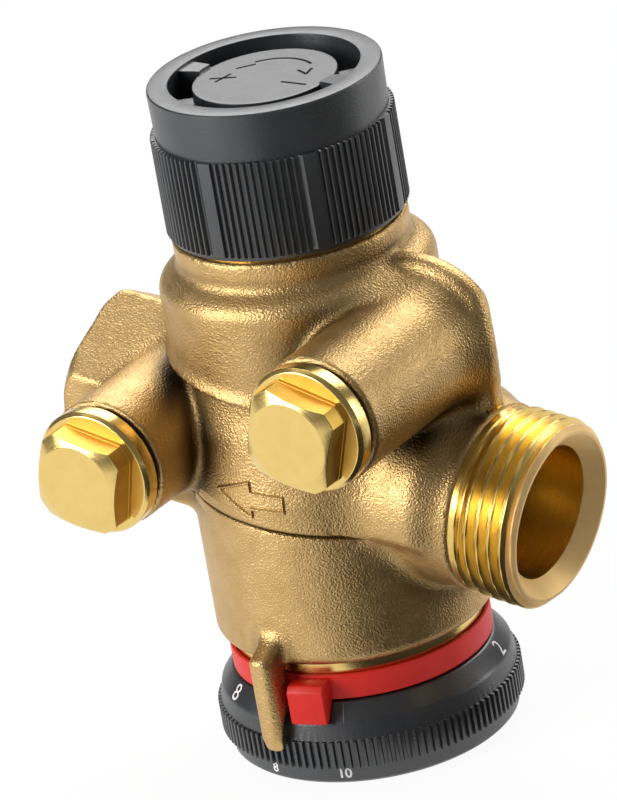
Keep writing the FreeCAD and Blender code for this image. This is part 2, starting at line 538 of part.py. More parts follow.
# protective cap: shell on the actuator thread, slotted top with bridges, ribs in groups between plain pads
cap_shell = turned("cap_shell", [
    ("0", "stem_top"), ("push_radius", "stem_top"), ("push_radius", "stem_top + roof_gap"),
    ("actuator_radius + running_gap", "stem_top + roof_gap"), ("actuator_radius + running_gap", "cap_base"),
    ("rib_radius - 2 * rib_depth", "cap_base"), ("rib_radius - rib_depth", "rib_low"),
    ("rib_radius - rib_depth", "rib_top"), ("cap_waist", "rib_top"), ("cap_radius", "cap_top - cap_edge"),
    ("cap_radius - cap_edge", "cap_top"), ("slot_outer", "cap_top"), ("slot_outer", "slot_floor"),
    ("slot_inner", "slot_floor"), ("slot_inner", "cap_top - disc_drop"), ("0", "cap_top - disc_drop")])
cap_ribs = ribbed_band("cap_ribs", "rib_radius", "rib_depth", "rib_low", "rib_top",
                       "(actuator_radius + running_gap + rib_radius - rib_depth) / 2",
                       padded_ribs(int(value("pad_count")), int(value("pad_ribs")), value("pad_turn")))
bridge_bar = box("bridge_bar", "slot_outer + slot_outer", "bridge_width", "cap_top - bridge_drop - slot_floor")
place(bridge_bar, (0, 0, 1), "0", ("-slot_outer", "-bridge_width / 2", "slot_floor"))
inner_bridge_bar = box("inner_bridge_bar", "slot_outer + slot_outer", "bridge_width",
                       "cap_top - inner_bridge_drop - slot_floor")
place(inner_bridge_bar, (0, 0, 1), "bridge_turn", (
    "bridge_width / 2 * sin(bridge_turn) - slot_outer * cos(bridge_turn)",
    "-bridge_width / 2 * cos(bridge_turn) - slot_outer * sin(bridge_turn)", "slot_floor"))
slot_ring = turned("slot_ring", [
    ("slot_inner - cap_edge", "slot_floor"), ("slot_outer + cap_edge", "slot_floor"),
    ("slot_outer + cap_edge", "cap_top - bridge_drop"), ("slot_inner - cap_edge", "cap_top - disc_drop")])
bridges = common("bridges", fused("bridge_bars", [bridge_bar, inner_bridge_bar]), slot_ring)
protective_cap = fused("protective_cap", [cap_shell, cap_ribs, bridges])


def test_plug(side, offset, turn):
    """A plug with its seal: threaded shank in the boss, collar, and a square head with a turned bevel."""
    seat = "shank_length + plug_gap"
    rim = seat + " + collar_width"
    centre = (offset, "shank_length - %s_boss_face" % side, side + "_boss_height")
    shank = turned(side + "_plug_shank", [
        ("0", "0"), ("plug_shank", "0"), ("plug_shank", seat), ("plug_collar", seat),
        ("plug_collar", rim + " - collar_bevel"), ("plug_collar - collar_bevel", rim), ("0", rim)])
    head_turn = turned(side + "_head_turn", [
        ("0", seat), ("head_corner", seat), ("head_corner", rim + " + head_height - head_bevel"),
        ("head_face", rim + " + head_height"), ("0", rim + " + head_height")])
    seal = turned(side + "_plug_seal", [
        ("plug_shank", "shank_length"), ("plug_seal_radius", "shank_length"), ("plug_seal_radius", seat),
        ("plug_shank", seat)])
    for piece in (shank, head_turn, seal):
        place(piece, (1, 0, 0), "90", centre)
    square = [("%s + head_across / 2 * (%d * cos(%s) - %d * sin(%s))" % (offset, a, turn, b, turn),
               "%s_boss_height + head_across / 2 * (%d * sin(%s) + %d * cos(%s))" % (side, a, turn, b, turn))
              for a, b in ((1, 1), (-1, 1), (-1, -1), (1, -1))]
    head_square = plate(side + "_head_square", square, "4 * %s_boss_face" % side, "0")
    plug = fused(side + "_plug", [shank, common(side + "_head", head_turn, head_square)])
    return plug, seal


left_plug, left_plug_seal = test_plug("left", "-left_boss_offset", "left_plug_turn")
right_plug, right_plug_seal = test_plug("right", "right_boss_offset", "right_plug_turn")

# bottom cover with its stop, seal, clamp ring and the rolling diaphragm
cover_turn = turned("cover_turn", [
    ("spindle_radius + running_gap", "cover_base"), ("chamber_radius", "cover_base"),
    ("chamber_radius", "cover_seal_low"), ("chamber_radius - cover_groove", "cover_seal_low"),
    ("chamber_radius - cover_groove", "cover_seal_low + cover_seal_width"),
    ("chamber_radius", "cover_seal_low + cover_seal_width"), ("chamber_radius", "cover_top"),
    ("chamber_radius - cover_rim", "cover_top"), ("chamber_radius - cover_rim", "cover_base + cover_floor"),
    ("hub_radius", "cover_base + cover_floor"), ("hub_radius", "hub_top"),
    ("spindle_radius + running_gap", "hub_top")])
cover_stop = sector("cover_stop", "stop_inner", "stop_outer", "cover_stop_base", "cover_base", "cover_stop_angle",
                    "cover_stop_turn")
bottom_cover = fused("bottom_cover", [cover_turn, cover_stop])
cover_seal = turned("cover_seal", [
    ("chamber_radius - cover_groove", "cover_seal_low"), ("chamber_radius", "cover_seal_low"),
    ("chamber_radius", "cover_seal_low + cover_seal_width"),
    ("chamber_radius - cover_groove", "cover_seal_low + cover_seal_width")])
clamp_ring = turned("clamp_ring", [
    ("chamber_radius - clamp_width", "cover_top"), ("chamber_radius", "cover_top"),
    ("chamber_radius", "clamp_ledge - sheet_thickness"),
    ("chamber_radius - clamp_width", "clamp_ledge - sheet_thickness")])
diaphragm = turned("diaphragm", [
    ("chamber_radius - clamp_width", "clamp_ledge - sheet_thickness"),
    ("chamber_radius", "clamp_ledge - sheet_thickness"), ("chamber_radius", "clamp_ledge"),
    ("chamber_radius - roll_inset", "clamp_ledge"), ("cup_flange + sheet_thickness", "roll_top"),
    ("cup_radius", "roll_top"), ("cup_radius", "roll_top - sheet_thickness"),
    ("cup_flange", "roll_top - sheet_thickness")])
regulator_cup = turned("regulator_cup", [
    ("cup_bore", "hub_top"), ("cup_radius", "hub_top"), ("cup_radius", "roll_top"), ("cup_flange", "roll_top"),
    ("cup_flange", "roll_top + flange_height"), ("cup_radius", "roll_top + flange_height"),
    ("cup_radius", "cup_top"), ("cup_bore", "cup_top")])
cup_nut = turned("cup_nut", [
    ("cup_radius", "roll_top - sheet_thickness - cup_nut_height"),
    ("cup_nut_radius", "roll_top - sheet_thickness - cup_nut_height"),
    ("cup_nut_radius", "roll_top - sheet_thickness"), ("cup_radius", "roll_top - sheet_thickness")])
regulator_spring = coil("regulator_spring", "regulator_coil", "regulator_wire", "roll_top + flange_height",
                        "chamber_top", "regulator_turns")

# setting spindle with seal and clip, and the sleeve whose window sets the flow
setting_spindle = turned("setting_spindle", [
    ("screw_radius", "tenon_base"), ("tenon_radius", "tenon_base"), ("tenon_radius", "hub_height"),
    ("spindle_radius", "hub_height"), ("spindle_radius", "spindle_seal_low"),
    ("spindle_radius - spindle_groove", "spindle_seal_low"),
    ("spindle_radius - spindle_groove", "spindle_seal_low + spindle_seal_width"),
    ("spindle_radius", "spindle_seal_low + spindle_seal_width"), ("spindle_radius", "spindle_clip_low"),
    ("spindle_radius - clip_groove", "spindle_clip_low"),
    ("spindle_radius - clip_groove", "spindle_clip_low + clip_height"),
    ("spindle_radius", "spindle_clip_low + clip_height"), ("spindle_radius", "chamber_top"),
    ("spindle_neck", "chamber_top"), ("spindle_neck", "spindle_top"), ("0", "spindle_top"), ("0", "screw_end"),
    ("screw_radius", "screw_end")])
spindle_seal = turned("spindle_seal", [
    ("spindle_radius - spindle_groove", "spindle_seal_low"),
    ("spindle_radius + running_gap / 2", "spindle_seal_low"),
    ("spindle_radius + running_gap / 2", "spindle_seal_low + spindle_seal_width"),
    ("spindle_radius - spindle_groove", "spindle_seal_low + spindle_seal_width")])
spindle_clip = turned("spindle_clip", [
    ("spindle_radius - clip_groove", "spindle_clip_low"),
    ("spindle_radius + spindle_clip_reach", "spindle_clip_low"),
    ("spindle_radius + spindle_clip_reach", "spindle_clip_low + clip_height"),
    ("spindle_radius - clip_groove", "spindle_clip_low + clip_height")])
sleeve_tube = turned("sleeve_tube", [
    ("spindle_neck", "chamber_top"), ("sleeve_radius", "chamber_top"), ("sleeve_radius", "sleeve_top"),
    ("spindle_neck", "sleeve_top")])
sleeve_window = place(box("sleeve_window", "2 * sleeve_radius", "2 * sleeve_radius",
                          "sleeve_top - window_low + cut_over"),
                      (0, 0, 1), "0", ("spindle_neck / 2", "-sleeve_radius", "window_low"))
setting_sleeve = cut("setting_sleeve", sleeve_tube, sleeve_window)

# hand wheel: dished wheel with a knurled rim, hub on the spindle, stop inside, and its screw from below
wheel_turn = turned("wheel_turn", [
    ("screw_radius + screw_gap", "recess_depth"), ("screw_recess", "recess_depth"), ("screw_recess", "0"),
    ("lip_radius", "0"), ("lip_radius", "knurl_low"), ("knurl_radius - knurl_depth", "knurl_low"),
    ("knurl_radius - knurl_depth", "knurl_top"), ("cone_radius", "cone_height"), ("wheel_mouth", "wheel_top"),
    ("nose_radius + wheel_gap", "wheel_top"), ("nose_radius + wheel_gap", "wheel_floor"),
    ("wheel_hub", "wheel_floor"), ("wheel_hub", "hub_height"), ("tenon_radius", "hub_height"),
    ("tenon_radius", "tenon_base"), ("screw_radius + screw_gap", "tenon_base")],
    [("lip_radius", "0", "lip_round")])
wheel_knurl = ribbed_band("wheel_knurl", "knurl_radius", "knurl_depth", "knurl_low", "knurl_top",
                          "(nose_radius + wheel_gap + knurl_radius) / 2", even_ribs(int(value("knurl_count"))))
wheel_stop = sector("wheel_stop", "stop_inner", "stop_outer", "wheel_floor", "wheel_stop_top", "wheel_stop_angle",
                    "wheel_stop_turn")
hand_wheel = fused("hand_wheel", [wheel_turn, wheel_knurl, wheel_stop])
screw_turn = turned("screw_turn", [
    ("0", "recess_depth - screw_head_height"), ("screw_head", "recess_depth - screw_head_height"),
    ("screw_head", "recess_depth"), ("screw_radius", "recess_depth"), ("screw_radius", "screw_end"),
    ("0", "screw_end")])
screw_slot = place(box("screw_slot", "2 * screw_head", "slot_width", "slot_depth + cut_over"), (0, 0, 1), "0", (
    "-screw_head", "-slot_width / 2", "recess_depth - screw_head_height - cut_over"))
wheel_screw = cut("wheel_screw", screw_turn, screw_slot)
screw_cover = turned("screw_cover", [
    ("0", "0"), ("screw_recess", "0"), ("screw_recess", "screw_cover_height"), ("0", "screw_cover_height")])

# locking ring: guided on the foot of the casting, with a tab hanging over the wheel
ring_turn = turned("ring_turn", [
    ("guide_radius + running_gap", "ring_base"), ("ring_radius", "ring_base"), ("ring_radius", "ring_top"),
    ("band_radius + running_gap", "ring_top"), ("band_radius + running_gap", "ring_base + ring_flange"),
    ("guide_radius + running_gap", "ring_base + ring_flange")])
ring_tab = plate("ring_tab", [
    ("(band_radius + ring_radius) / 2", "tab_top"), ("tab_radius", "tab_top"), ("tab_radius", "tab_base"),
    ("(band_radius + ring_radius) / 2", "ring_base + tab_gap")], "tab_width", "tab_turn")
locking_ring = fused("locking_ring", [ring_turn, ring_tab])

NODES = [valve_body, bonnet, bonnet_seal, gland_seal, gland_nut, seat_ring, stem, spring_collar, collar_clip,
         return_spring, valve_disc, disc_seal, protective_cap, left_plug, left_plug_seal, right_plug,
         right_plug_seal, bottom_cover, cover_seal, clamp_ring, diaphragm, regulator_cup, cup_nut,
         regulator_spring, setting_spindle, spindle_seal, spindle_clip, setting_sleeve, hand_wheel, wheel_screw,
         screw_cover, locking_ring]
doc.recompute()
for item in doc.Objects:
    if "Invalid" in item.State or "Error" in item.State:
        raise RuntimeError("%s did not build: %s" % (item.Label, item.State))
os.makedirs("parts", exist_ok=True)
for node in NODES:
    shape = node.Shape
    if shape.isNull() or not shape.isValid() or not shape.Solids:
        raise RuntimeError("%s has no sound shape" % node.Label)
    shape.exportStep("parts/%s.step" % node.Label)
    print("%-18s solids %d volume %.1f" % (node.Label, len(shape.Solids), shape.Volume))
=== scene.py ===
# %% [markdown]
# # A brass flow regulating valve
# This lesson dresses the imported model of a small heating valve: a sandblasted brass casting with a leaning pipe,
# two bright test plugs, a ribbed dark cap on top, and a dark setting wheel with a red locking ring below.
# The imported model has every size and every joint, so the script only adds what a closer look shows: cast fillets,
# cut threads, ribs, a knurl, a dial and the finishes. The frame is loaded first and never moved.

# %% The frame
import json
import bpy
import bmesh
import numpy as np
from mathutils import Matrix, Vector


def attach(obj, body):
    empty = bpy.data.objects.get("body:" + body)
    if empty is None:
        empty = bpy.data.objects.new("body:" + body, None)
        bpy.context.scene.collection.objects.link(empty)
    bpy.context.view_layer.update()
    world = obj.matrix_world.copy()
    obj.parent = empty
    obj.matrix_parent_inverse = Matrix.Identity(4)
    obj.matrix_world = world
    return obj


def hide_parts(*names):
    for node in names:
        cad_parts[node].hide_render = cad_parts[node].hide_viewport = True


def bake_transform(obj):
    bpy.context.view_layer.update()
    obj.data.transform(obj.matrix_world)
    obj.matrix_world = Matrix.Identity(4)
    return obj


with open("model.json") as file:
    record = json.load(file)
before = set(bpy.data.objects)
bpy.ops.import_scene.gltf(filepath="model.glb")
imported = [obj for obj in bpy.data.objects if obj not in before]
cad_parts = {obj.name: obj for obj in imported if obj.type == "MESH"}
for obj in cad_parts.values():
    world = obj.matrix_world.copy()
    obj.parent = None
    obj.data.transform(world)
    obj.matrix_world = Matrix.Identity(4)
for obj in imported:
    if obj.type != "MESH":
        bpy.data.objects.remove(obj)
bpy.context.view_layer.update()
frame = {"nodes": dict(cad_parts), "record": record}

MM = 0.001
scene = bpy.context.scene

# %% [markdown]
# ## Camera
# The photograph was taken with a long lens from the front right and above, and the valve leans in the picture,
# so the camera is rolled. The place is written as a target, a distance and three angles, which are easier to
# adjust than a matrix.

# %% Camera
CAMERA_TARGET = np.array([-2.15, -0.02, 48.29]) * MM
CAMERA_DISTANCE = 0.8912
CAMERA_TURN, CAMERA_RISE, CAMERA_ROLL = np.radians([37.49, 22.96, -9.99])
FOCAL_PIXELS, PICTURE_PIXELS, SENSOR_HEIGHT = 6535.6, 800, 36.0

back = np.array([np.sin(CAMERA_TURN) * np.cos(CAMERA_RISE), -np.cos(CAMERA_TURN) * np.cos(CAMERA_RISE),
                 np.sin(CAMERA_RISE)])
level = np.array([np.cos(CAMERA_TURN), np.sin(CAMERA_TURN), 0.0])
upright = np.cross(back, level)
right = np.cos(CAMERA_ROLL) * level + np.sin(CAMERA_ROLL) * upright
up = -np.sin(CAMERA_ROLL) * level + np.cos(CAMERA_ROLL) * upright
camera_data = bpy.data.cameras.new("long_lens")
camera_data.sensor_fit = "VERTICAL"
camera_data.sensor_height = SENSOR_HEIGHT
camera_data.lens = FOCAL_PIXELS * SENSOR_HEIGHT / PICTURE_PIXELS
camera_data.clip_start = 0.01
camera = bpy.data.objects.new("camera", camera_data)
scene.collection.objects.link(camera)
place = np.eye(4)
place[:3] = np.stack([right, up, back, CAMERA_TARGET + CAMERA_DISTANCE * back], 1)
camera.matrix_world = Matrix(place.tolist())
scene.camera = camera
print("camera at", np.round(place[:3, 3], 3))

# %% [markdown]
# ## Floor
# The valve stands on a white sheet. Lamps that make a painted sheet white would burn out the brass. So camera, glossy
# and transmitted rays see the sheet almost wholly as a lit panel of strength 1, and the rest is a matt white that
# keeps the shadow.

# %% Floor
scene.view_settings.view_transform = "Standard"


def wire(tree, start, end):
    """Joins an output socket to an input socket."""
    tree.links.new(start, end)


def node(tree, kind, **settings):
    """Adds a shader node of this kind; settings are its properties."""
    made = tree.nodes.new("ShaderNode" + kind)
    for key, value in settings.items():
        setattr(made, key, value)
    return made


def flat_sheet(name, points, paint_name):
    """A flat face through points in metres; returns the object and the nodes of its material."""
    mesh = bpy.data.meshes.new(name)
    mesh.from_pydata(points, [], [list(range(len(points)))])
    sheet = bpy.data.objects.new(name, mesh)
    scene.collection.objects.link(sheet)
    paint = bpy.data.materials.new(paint_name)
    paint.use_nodes = True
    mesh.materials.append(paint)
    return sheet, paint.node_tree


FLOOR_HALF, PANEL_SHARE = 3.0, 0.94
corners = [(x * FLOOR_HALF, y * FLOOR_HALF, 0) for x, y in ((-1, -1), (1, -1), (1, 1), (-1, 1))]
floor, tree = flat_sheet("floor", corners, "white_sheet")
tree.nodes.clear()
matt = node(tree, "BsdfDiffuse")
matt.inputs["Color"].default_value = (0.92, 0.92, 0.92, 1)
panel = node(tree, "Emission")
rays = node(tree, "LightPath")
seen = rays.outputs["Is Camera Ray"]
for kind in ("Is Glossy Ray", "Is Transmission Ray"):
    total = node(tree, "Math", operation="ADD")
    wire(tree, seen, total.inputs[0])
    wire(tree, rays.outputs[kind], total.inputs[1])
    seen = total.outputs[0]
share = node(tree, "Math", operation="MULTIPLY")
share.inputs[1].default_value = PANEL_SHARE
mix = node(tree, "MixShader")
out = node(tree, "OutputMaterial")
wire(tree, seen, share.inputs[0])
wire(tree, share.outputs[0], mix.inputs["Fac"])
wire(tree, matt.outputs[0], mix.inputs[1])
wire(tree, panel.outputs[0], mix.inputs[2])
wire(tree, mix.outputs[0], out.inputs["Surface"])
print("floor", 2 * FLOOR_HALF, "m wide")

# %% [markdown]
# ## Lamps
# Brass shows its form by bright and dark reflections. A grey surrounding gives the dark sides, and four soft lamps
# the highlights: one at the left front, a broad one high behind, a weak one overhead, a narrow strip at the right.

# %% Lamps and surrounding
world = bpy.data.worlds.new("grey_room")
scene.world = world
world.use_nodes = True
world.node_tree.nodes["Background"].inputs["Color"].default_value = (0.16, 0.16, 0.164, 1)


def soft_lamp(name, spot, aim, width, height, watts):
    """A rectangular lamp at spot, turned so that it shines at aim; places in metres."""
    data = bpy.data.lights.new(name, "AREA")
    data.shape = "RECTANGLE"
    data.size, data.size_y, data.energy = width, height, watts
    lamp = bpy.data.objects.new(name, data)
    lamp.visible_camera = False
    scene.collection.objects.link(lamp)
    facing = (Vector(aim) - Vector(spot)).to_track_quat("-Z", "Y").to_matrix().to_4x4()
    lamp.matrix_world = Matrix.Translation(spot) @ facing
    print(name, watts, "W")


soft_lamp("key_lamp", (-0.52, -0.92, 0.48), (0, 0, 0.05), 0.6, 0.6, 11.0)
soft_lamp("back_lamp", (-0.28, 0.90, 0.94), (0, 0, 0.06), 1.5, 0.9, 18.0)
soft_lamp("top_lamp", (-0.30, -0.05, 1.10), (0, 0, 0.05), 1.0, 1.0, 1.8)
soft_lamp("side_lamp", (0.68, 0.65, 0.22), (0, 0, 0.05), 0.15, 0.4, 1.4)

# %% [markdown]
# ## Dark card
# Brass on a white sheet would be bright all over, so a dark card lies at the right front and darkens that side as in
# the photograph. Its outline is a fan round the main axis, which begins at the wheel. Only glossy rays meet the card,
# and the camera looks through it.

# %% Dark card
CARD_LIFT = 0.0005
card_turn = np.radians([-74, -73, -70, -56, -30, 0, 20, 30, 36, 0, -50])
card_reach = np.array([0.90, 0.20, 0.05, 0.034, 0.028, 0.03, 0.033, 0.05, 0.60, 0.90, 0.90])
card_points = [card_reach * np.cos(card_turn), card_reach * np.sin(card_turn), np.full(len(card_turn), CARD_LIFT)]
card, tree = flat_sheet("dark_card", np.stack(card_points, 1).tolist(), "dark_felt")
felt = tree.nodes["Principled BSDF"]
felt.inputs["Base Color"].default_value = (0.02, 0.02, 0.02, 1)
felt.inputs["Roughness"].default_value = 1.0
card.visible_camera = card.visible_diffuse = card.visible_shadow = False
print("dark card from", card_reach.min(), "m to the right of the main axis")

# %% [markdown]
# ## Finishes
# Each finish is one principled shader with noise in Object coordinates. The casting has the pebbled skin of
# sandblasting, so a fine bump breaks up its highlights, and painted shade darkens its folds. Turned brass has rings
# that follow the cutting tool; they need a coordinate along the surface, so the turned pieces carry a UV map whose
# second value runs along the profile in millimetres. Moulded plastic gets a faint grain and patches of different
# gloss.

# %% Finish helpers
def new_finish(name, colour, metal, rough):
    """A principled shader with its constants set on its own sockets; returns material, tree and shader."""
    paint = bpy.data.materials.new(name)
    paint.use_nodes = True
    tree = paint.node_tree
    shader = tree.nodes["Principled BSDF"]
    shader.inputs["Base Color"].default_value = (*colour, 1)
    shader.inputs["Metallic"].default_value = metal
    shader.inputs["Roughness"].default_value = rough
    return paint, tree, shader


def cloudy(tree, source, scale, detail=2.0):
    """Noise of this many periods to the metre, read from a coordinate socket."""
    made = node(tree, "TexNoise")
    made.inputs["Scale"].default_value = scale
    made.inputs["Detail"].default_value = detail
    wire(tree, source, made.inputs["Vector"])
    return made.outputs["Fac"]


def spread(tree, source, low_out, high_out, low=0.3, high=0.7):
    """Maps the stretch low..high of a value to low_out..high_out."""
    made = node(tree, "MapRange")
    for key, value in (("From Min", low), ("From Max", high), ("To Min", low_out), ("To Max", high_out)):
        made.inputs[key].default_value = value
    wire(tree, source, made.inputs["Value"])
    return made.outputs["Result"]


def tint(tree, source, dark, light):
    """Colour that runs from dark to light as a value goes from 0.3 to 0.7."""
    made = node(tree, "ValToRGB")
    made.color_ramp.elements[0].position, made.color_ramp.elements[1].position = 0.3, 0.7
    made.color_ramp.elements[0].color = (*dark, 1)
    made.color_ramp.elements[1].color = (*light, 1)
    wire(tree, source, made.inputs["Fac"])
    return made.outputs["Color"]


def raise_skin(tree, shader, source, depth, strength=1.0, before=None):
    """Bump of this depth in metres on a shader; before is a bump that it lies on."""
    made = node(tree, "Bump")
    made.inputs["Distance"].default_value = depth
    made.inputs["Strength"].default_value = strength
    wire(tree, source, made.inputs["Height"])
    if before is not None:
        wire(tree, before, made.inputs["Normal"])
    wire(tree, made.outputs["Normal"], shader.inputs["Normal"])
    return made.outputs["Normal"]


# %% Brass finishes
def sandblasted_brass():
    """Cast brass: pebbled bump of about 0.4 mm on a faint swell, tone and gloss drifting over some millimetres, and
    painted shade in folds: darker where the crevice attribute is above 0."""
    paint, tree, shader = new_finish("sandblasted_brass", (0.62, 0.41, 0.17), 1.0, 0.4)
    spot = node(tree, "TexCoord").outputs["Object"]
    shade = node(tree, "VectorMath", operation="SCALE")
    wire(tree, tint(tree, cloudy(tree, spot, 260.0, 3.0), (0.58, 0.38, 0.152), (0.67, 0.452, 0.196)), shade.inputs[0])
    # Painted shade: the base colour is scaled down toward 0.12 where a point lies deep in a fold.
    depth = node(tree, "Attribute", attribute_name="crevice_shade").outputs["Fac"]
    wire(tree, spread(tree, depth, 1.0, 0.12, 0.08, 0.8), shade.inputs["Scale"])
    wire(tree, shade.outputs["Vector"], shader.inputs["Base Color"])
    wire(tree, spread(tree, cloudy(tree, spot, 500.0), 0.38, 0.48), shader.inputs["Roughness"])
    coarse = raise_skin(tree, shader, cloudy(tree, spot, 900.0, 1.0), 0.00003)
    raise_skin(tree, shader, cloudy(tree, spot, 3400.0, 1.5), 0.00013, before=coarse)
    return paint


def turned_brass(name, dark, light, smooth, dull):
    """Cut brass of a roughness between smooth and dull: rings along the profile from a noise that reads only the
    second UV value."""
    paint, tree, shader = new_finish(name, light, 1.0, smooth)
    parts = node(tree, "SeparateXYZ")
    wire(tree, node(tree, "UVMap", uv_map="along").outputs["UV"], parts.inputs[0])
    rings = node(tree, "TexNoise", noise_dimensions="1D")
    rings.inputs["Scale"].default_value = 9.0
    rings.inputs["Detail"].default_value = 3.0
    wire(tree, parts.outputs["Y"], rings.inputs["W"])
    spot = node(tree, "TexCoord").outputs["Object"]
    wire(tree, tint(tree, cloudy(tree, spot, 400.0), dark, light), shader.inputs["Base Color"])
    wire(tree, spread(tree, rings.outputs["Fac"], smooth, dull), shader.inputs["Roughness"])
    raise_skin(tree, shader, rings.outputs["Fac"], 0.00002, 0.5)
    return paint


# %% Tones of brass
cast_finish = sandblasted_brass()
turned_finish = turned_brass("turned_brass", (0.84, 0.60, 0.195), (0.88, 0.64, 0.225), 0.17, 0.28)
cut_finish = turned_brass("thread_brass", (0.79, 0.55, 0.16), (0.84, 0.60, 0.19), 0.25, 0.38)
bore_finish = turned_brass("bore_brass", (0.93, 0.67, 0.20), (0.97, 0.73, 0.24), 0.22, 0.34)
# Partly painted shade: faces cut by milling at the foot of the plug heads get a rougher brass, which is real, and
# also a darker, deeper tint that paints the shade in the corner by the collar.
milled_shaded_finish = turned_brass("milled_shaded_brass", (0.80, 0.48, 0.09), (0.85, 0.54, 0.12), 0.42, 0.52)
face_finish = turned_brass("dull_brass", (0.92, 0.61, 0.24), (0.97, 0.67, 0.29), 0.42, 0.55)
face_finish.node_tree.nodes["Principled BSDF"].inputs["Metallic"].default_value = 0.6
brass = (cast_finish, turned_finish, cut_finish, bore_finish, milled_shaded_finish, face_finish)
print("finishes:", ", ".join(paint.name for paint in brass))


# %% Plastic and steel finishes
def moulded_plastic(name, dark, light, rough, grain, shine=0.5):
    """Moulded plastic: two close tones in soft patches, a grain of that depth in metres, specular level shine."""
    paint, tree, shader = new_finish(name, light, 0.0, rough)
    shader.inputs["Specular IOR Level"].default_value = shine
    spot = node(tree, "TexCoord").outputs["Object"]
    wire(tree, tint(tree, cloudy(tree, spot, 180.0, 3.0), dark, light), shader.inputs["Base Color"])
    gloss = spread(tree, cloudy(tree, spot, 320.0), rough - 0.03, rough + 0.03)
    wire(tree, gloss, shader.inputs["Roughness"])
    raise_skin(tree, shader, cloudy(tree, spot, 3500.0), grain)
    return paint


def drawn_steel():
    """Drawn steel: fine scratches from a noise stretched along the main axis."""
    paint, tree, shader = new_finish("drawn_steel", (0.60, 0.60, 0.62), 1.0, 0.3)
    spot = node(tree, "Mapping")
    wire(tree, node(tree, "TexCoord").outputs["Object"], spot.inputs["Vector"])
    spot.inputs["Scale"].default_value = (1.0, 1.0, 0.08)
    lines = cloudy(tree, spot.outputs["Vector"], 2500.0)
    wire(tree, spread(tree, lines, 0.22, 0.4), shader.inputs["Roughness"])
    raise_skin(tree, shader, lines, 0.00002)
    return paint


# %% Tones of plastic, rubber, print and steel
dark_finish = moulded_plastic("anthracite_plastic", (0.016, 0.0175, 0.020), (0.023, 0.025, 0.028), 0.35, 0.00003, 1.0)
red_finish = moulded_plastic("red_plastic", (0.66, 0.012, 0.007), (0.72, 0.018, 0.010), 0.45, 0.00002, 0.4)
pale_finish = moulded_plastic("inner_plastic", (0.62, 0.62, 0.58), (0.70, 0.70, 0.66), 0.45, 0.00002)
rubber_finish = moulded_plastic("seal_rubber", (0.012, 0.012, 0.012), (0.02, 0.02, 0.02), 0.6, 0.00003)
print_finish = moulded_plastic("white_print", (0.78, 0.78, 0.78), (0.86, 0.86, 0.86), 0.5, 0.00001)
label_finish = moulded_plastic("grey_print", (0.20, 0.20, 0.21), (0.26, 0.26, 0.27), 0.5, 0.00001)
# Painted shade: the dark, dull finish of the cap's marks stands for the shade in their engraved grooves.
engraving_shade_finish = moulded_plastic("engraved_shade", (0.010, 0.010, 0.011), (0.016, 0.016, 0.018), 0.8, 0.00002, 0.1)
steel_finish = drawn_steel()
inner_finish = {"cast_brass": cast_finish, "turned_brass": turned_finish, "dark_plastic": dark_finish,
                "red_plastic": red_finish, "inner_plastic": pale_finish, "seal_rubber": rubber_finish,
                "steel": steel_finish}
for part in frame["record"]["subparts"]:
    carried = frame["nodes"][part["node"]]
    carried.data.materials.clear()
    carried.data.materials.append(inner_finish[part["material_slot"]])

# %% [markdown]
# ## Surfaces from grids
# Most pieces are turned or moulded round an axis, so their shape is a function of the turn and of the way along
# a profile. One helper makes the mesh of such a grid: quads between neighbours, doubled points at poles and seams
# merged, normals turned outward. Another eases the corners of a profile, because real edges catch a line of light.

# %% Grid helpers
def eased(corners, reach, closed=False, steps=4):
    """Profile whose corners P become the curve (1-t)^2 A + 2t(1-t) P + t^2 B, with A and B that reach away from P
    on its two sides, and at most 0.45 of a side. An open profile keeps its ends. Corners are (..., m, 2)."""
    corner = np.asarray(corners, float)
    before, after = np.roll(corner, 1, -2) - corner, np.roll(corner, -1, -2) - corner
    reach = np.broadcast_to(np.asarray(reach, float), corner.shape[-2]).copy()
    if not closed:
        reach[[0, -1]] = 0.0
    size_before, size_after = (np.linalg.norm(side, axis=-1, keepdims=True) for side in (before, after))
    cut = np.minimum(reach[:, None], 0.45 * np.minimum(size_before, size_after))
    start = (corner + before / np.maximum(size_before, 1e-9) * cut)[..., None, :]
    end = (corner + after / np.maximum(size_after, 1e-9) * cut)[..., None, :]
    t = np.linspace(0, 1, steps)[:, None]
    curve = (1 - t) ** 2 * start + 2 * t * (1 - t) * corner[..., None, :] + t ** 2 * end
    return curve.reshape(*corner.shape[:-2], -1, 2)


def grid_mesh(name, points, around=True, along=False):
    """Mesh of an (n, m, 3) grid of points in millimetres; around joins its last row to the first, along its last
    column to the first. The UV map holds the turn and the way along the columns in millimetres."""
    rows, columns = points.shape[:2]
    way = np.zeros((rows, columns + 1))
    way[:, 1:] = np.cumsum(np.linalg.norm(np.roll(points, -1, 1) - points, axis=2), axis=1)
    i, j = np.meshgrid(np.arange(rows if around else rows - 1), np.arange(columns if along else columns - 1),
                       indexing="ij")
    i, j = i.ravel(), j.ravel()
    turn = np.stack([i, i + 1, i + 1, i], 1)
    step = np.stack([j, j, j + 1, j + 1], 1)
    corner = (turn % rows) * columns + step % columns
    mesh = bpy.data.meshes.new(name)
    mesh.from_pydata((points.reshape(-1, 3) * MM).tolist(), [], corner.tolist())
    chart = mesh.uv_layers.new(name="along")
    chart.uv.foreach_set("vector", np.stack([turn / rows, way[turn % rows, step]], 2).astype(np.float32).ravel())
    shell = bmesh.new()
    shell.from_mesh(mesh)
    bmesh.ops.remove_doubles(shell, verts=shell.verts, dist=1e-7)
    bmesh.ops.dissolve_degenerate(shell, edges=shell.edges, dist=1e-8)
    bmesh.ops.recalc_face_normals(shell, faces=shell.faces)
    shell.to_mesh(mesh)
    shell.free()
    return mesh


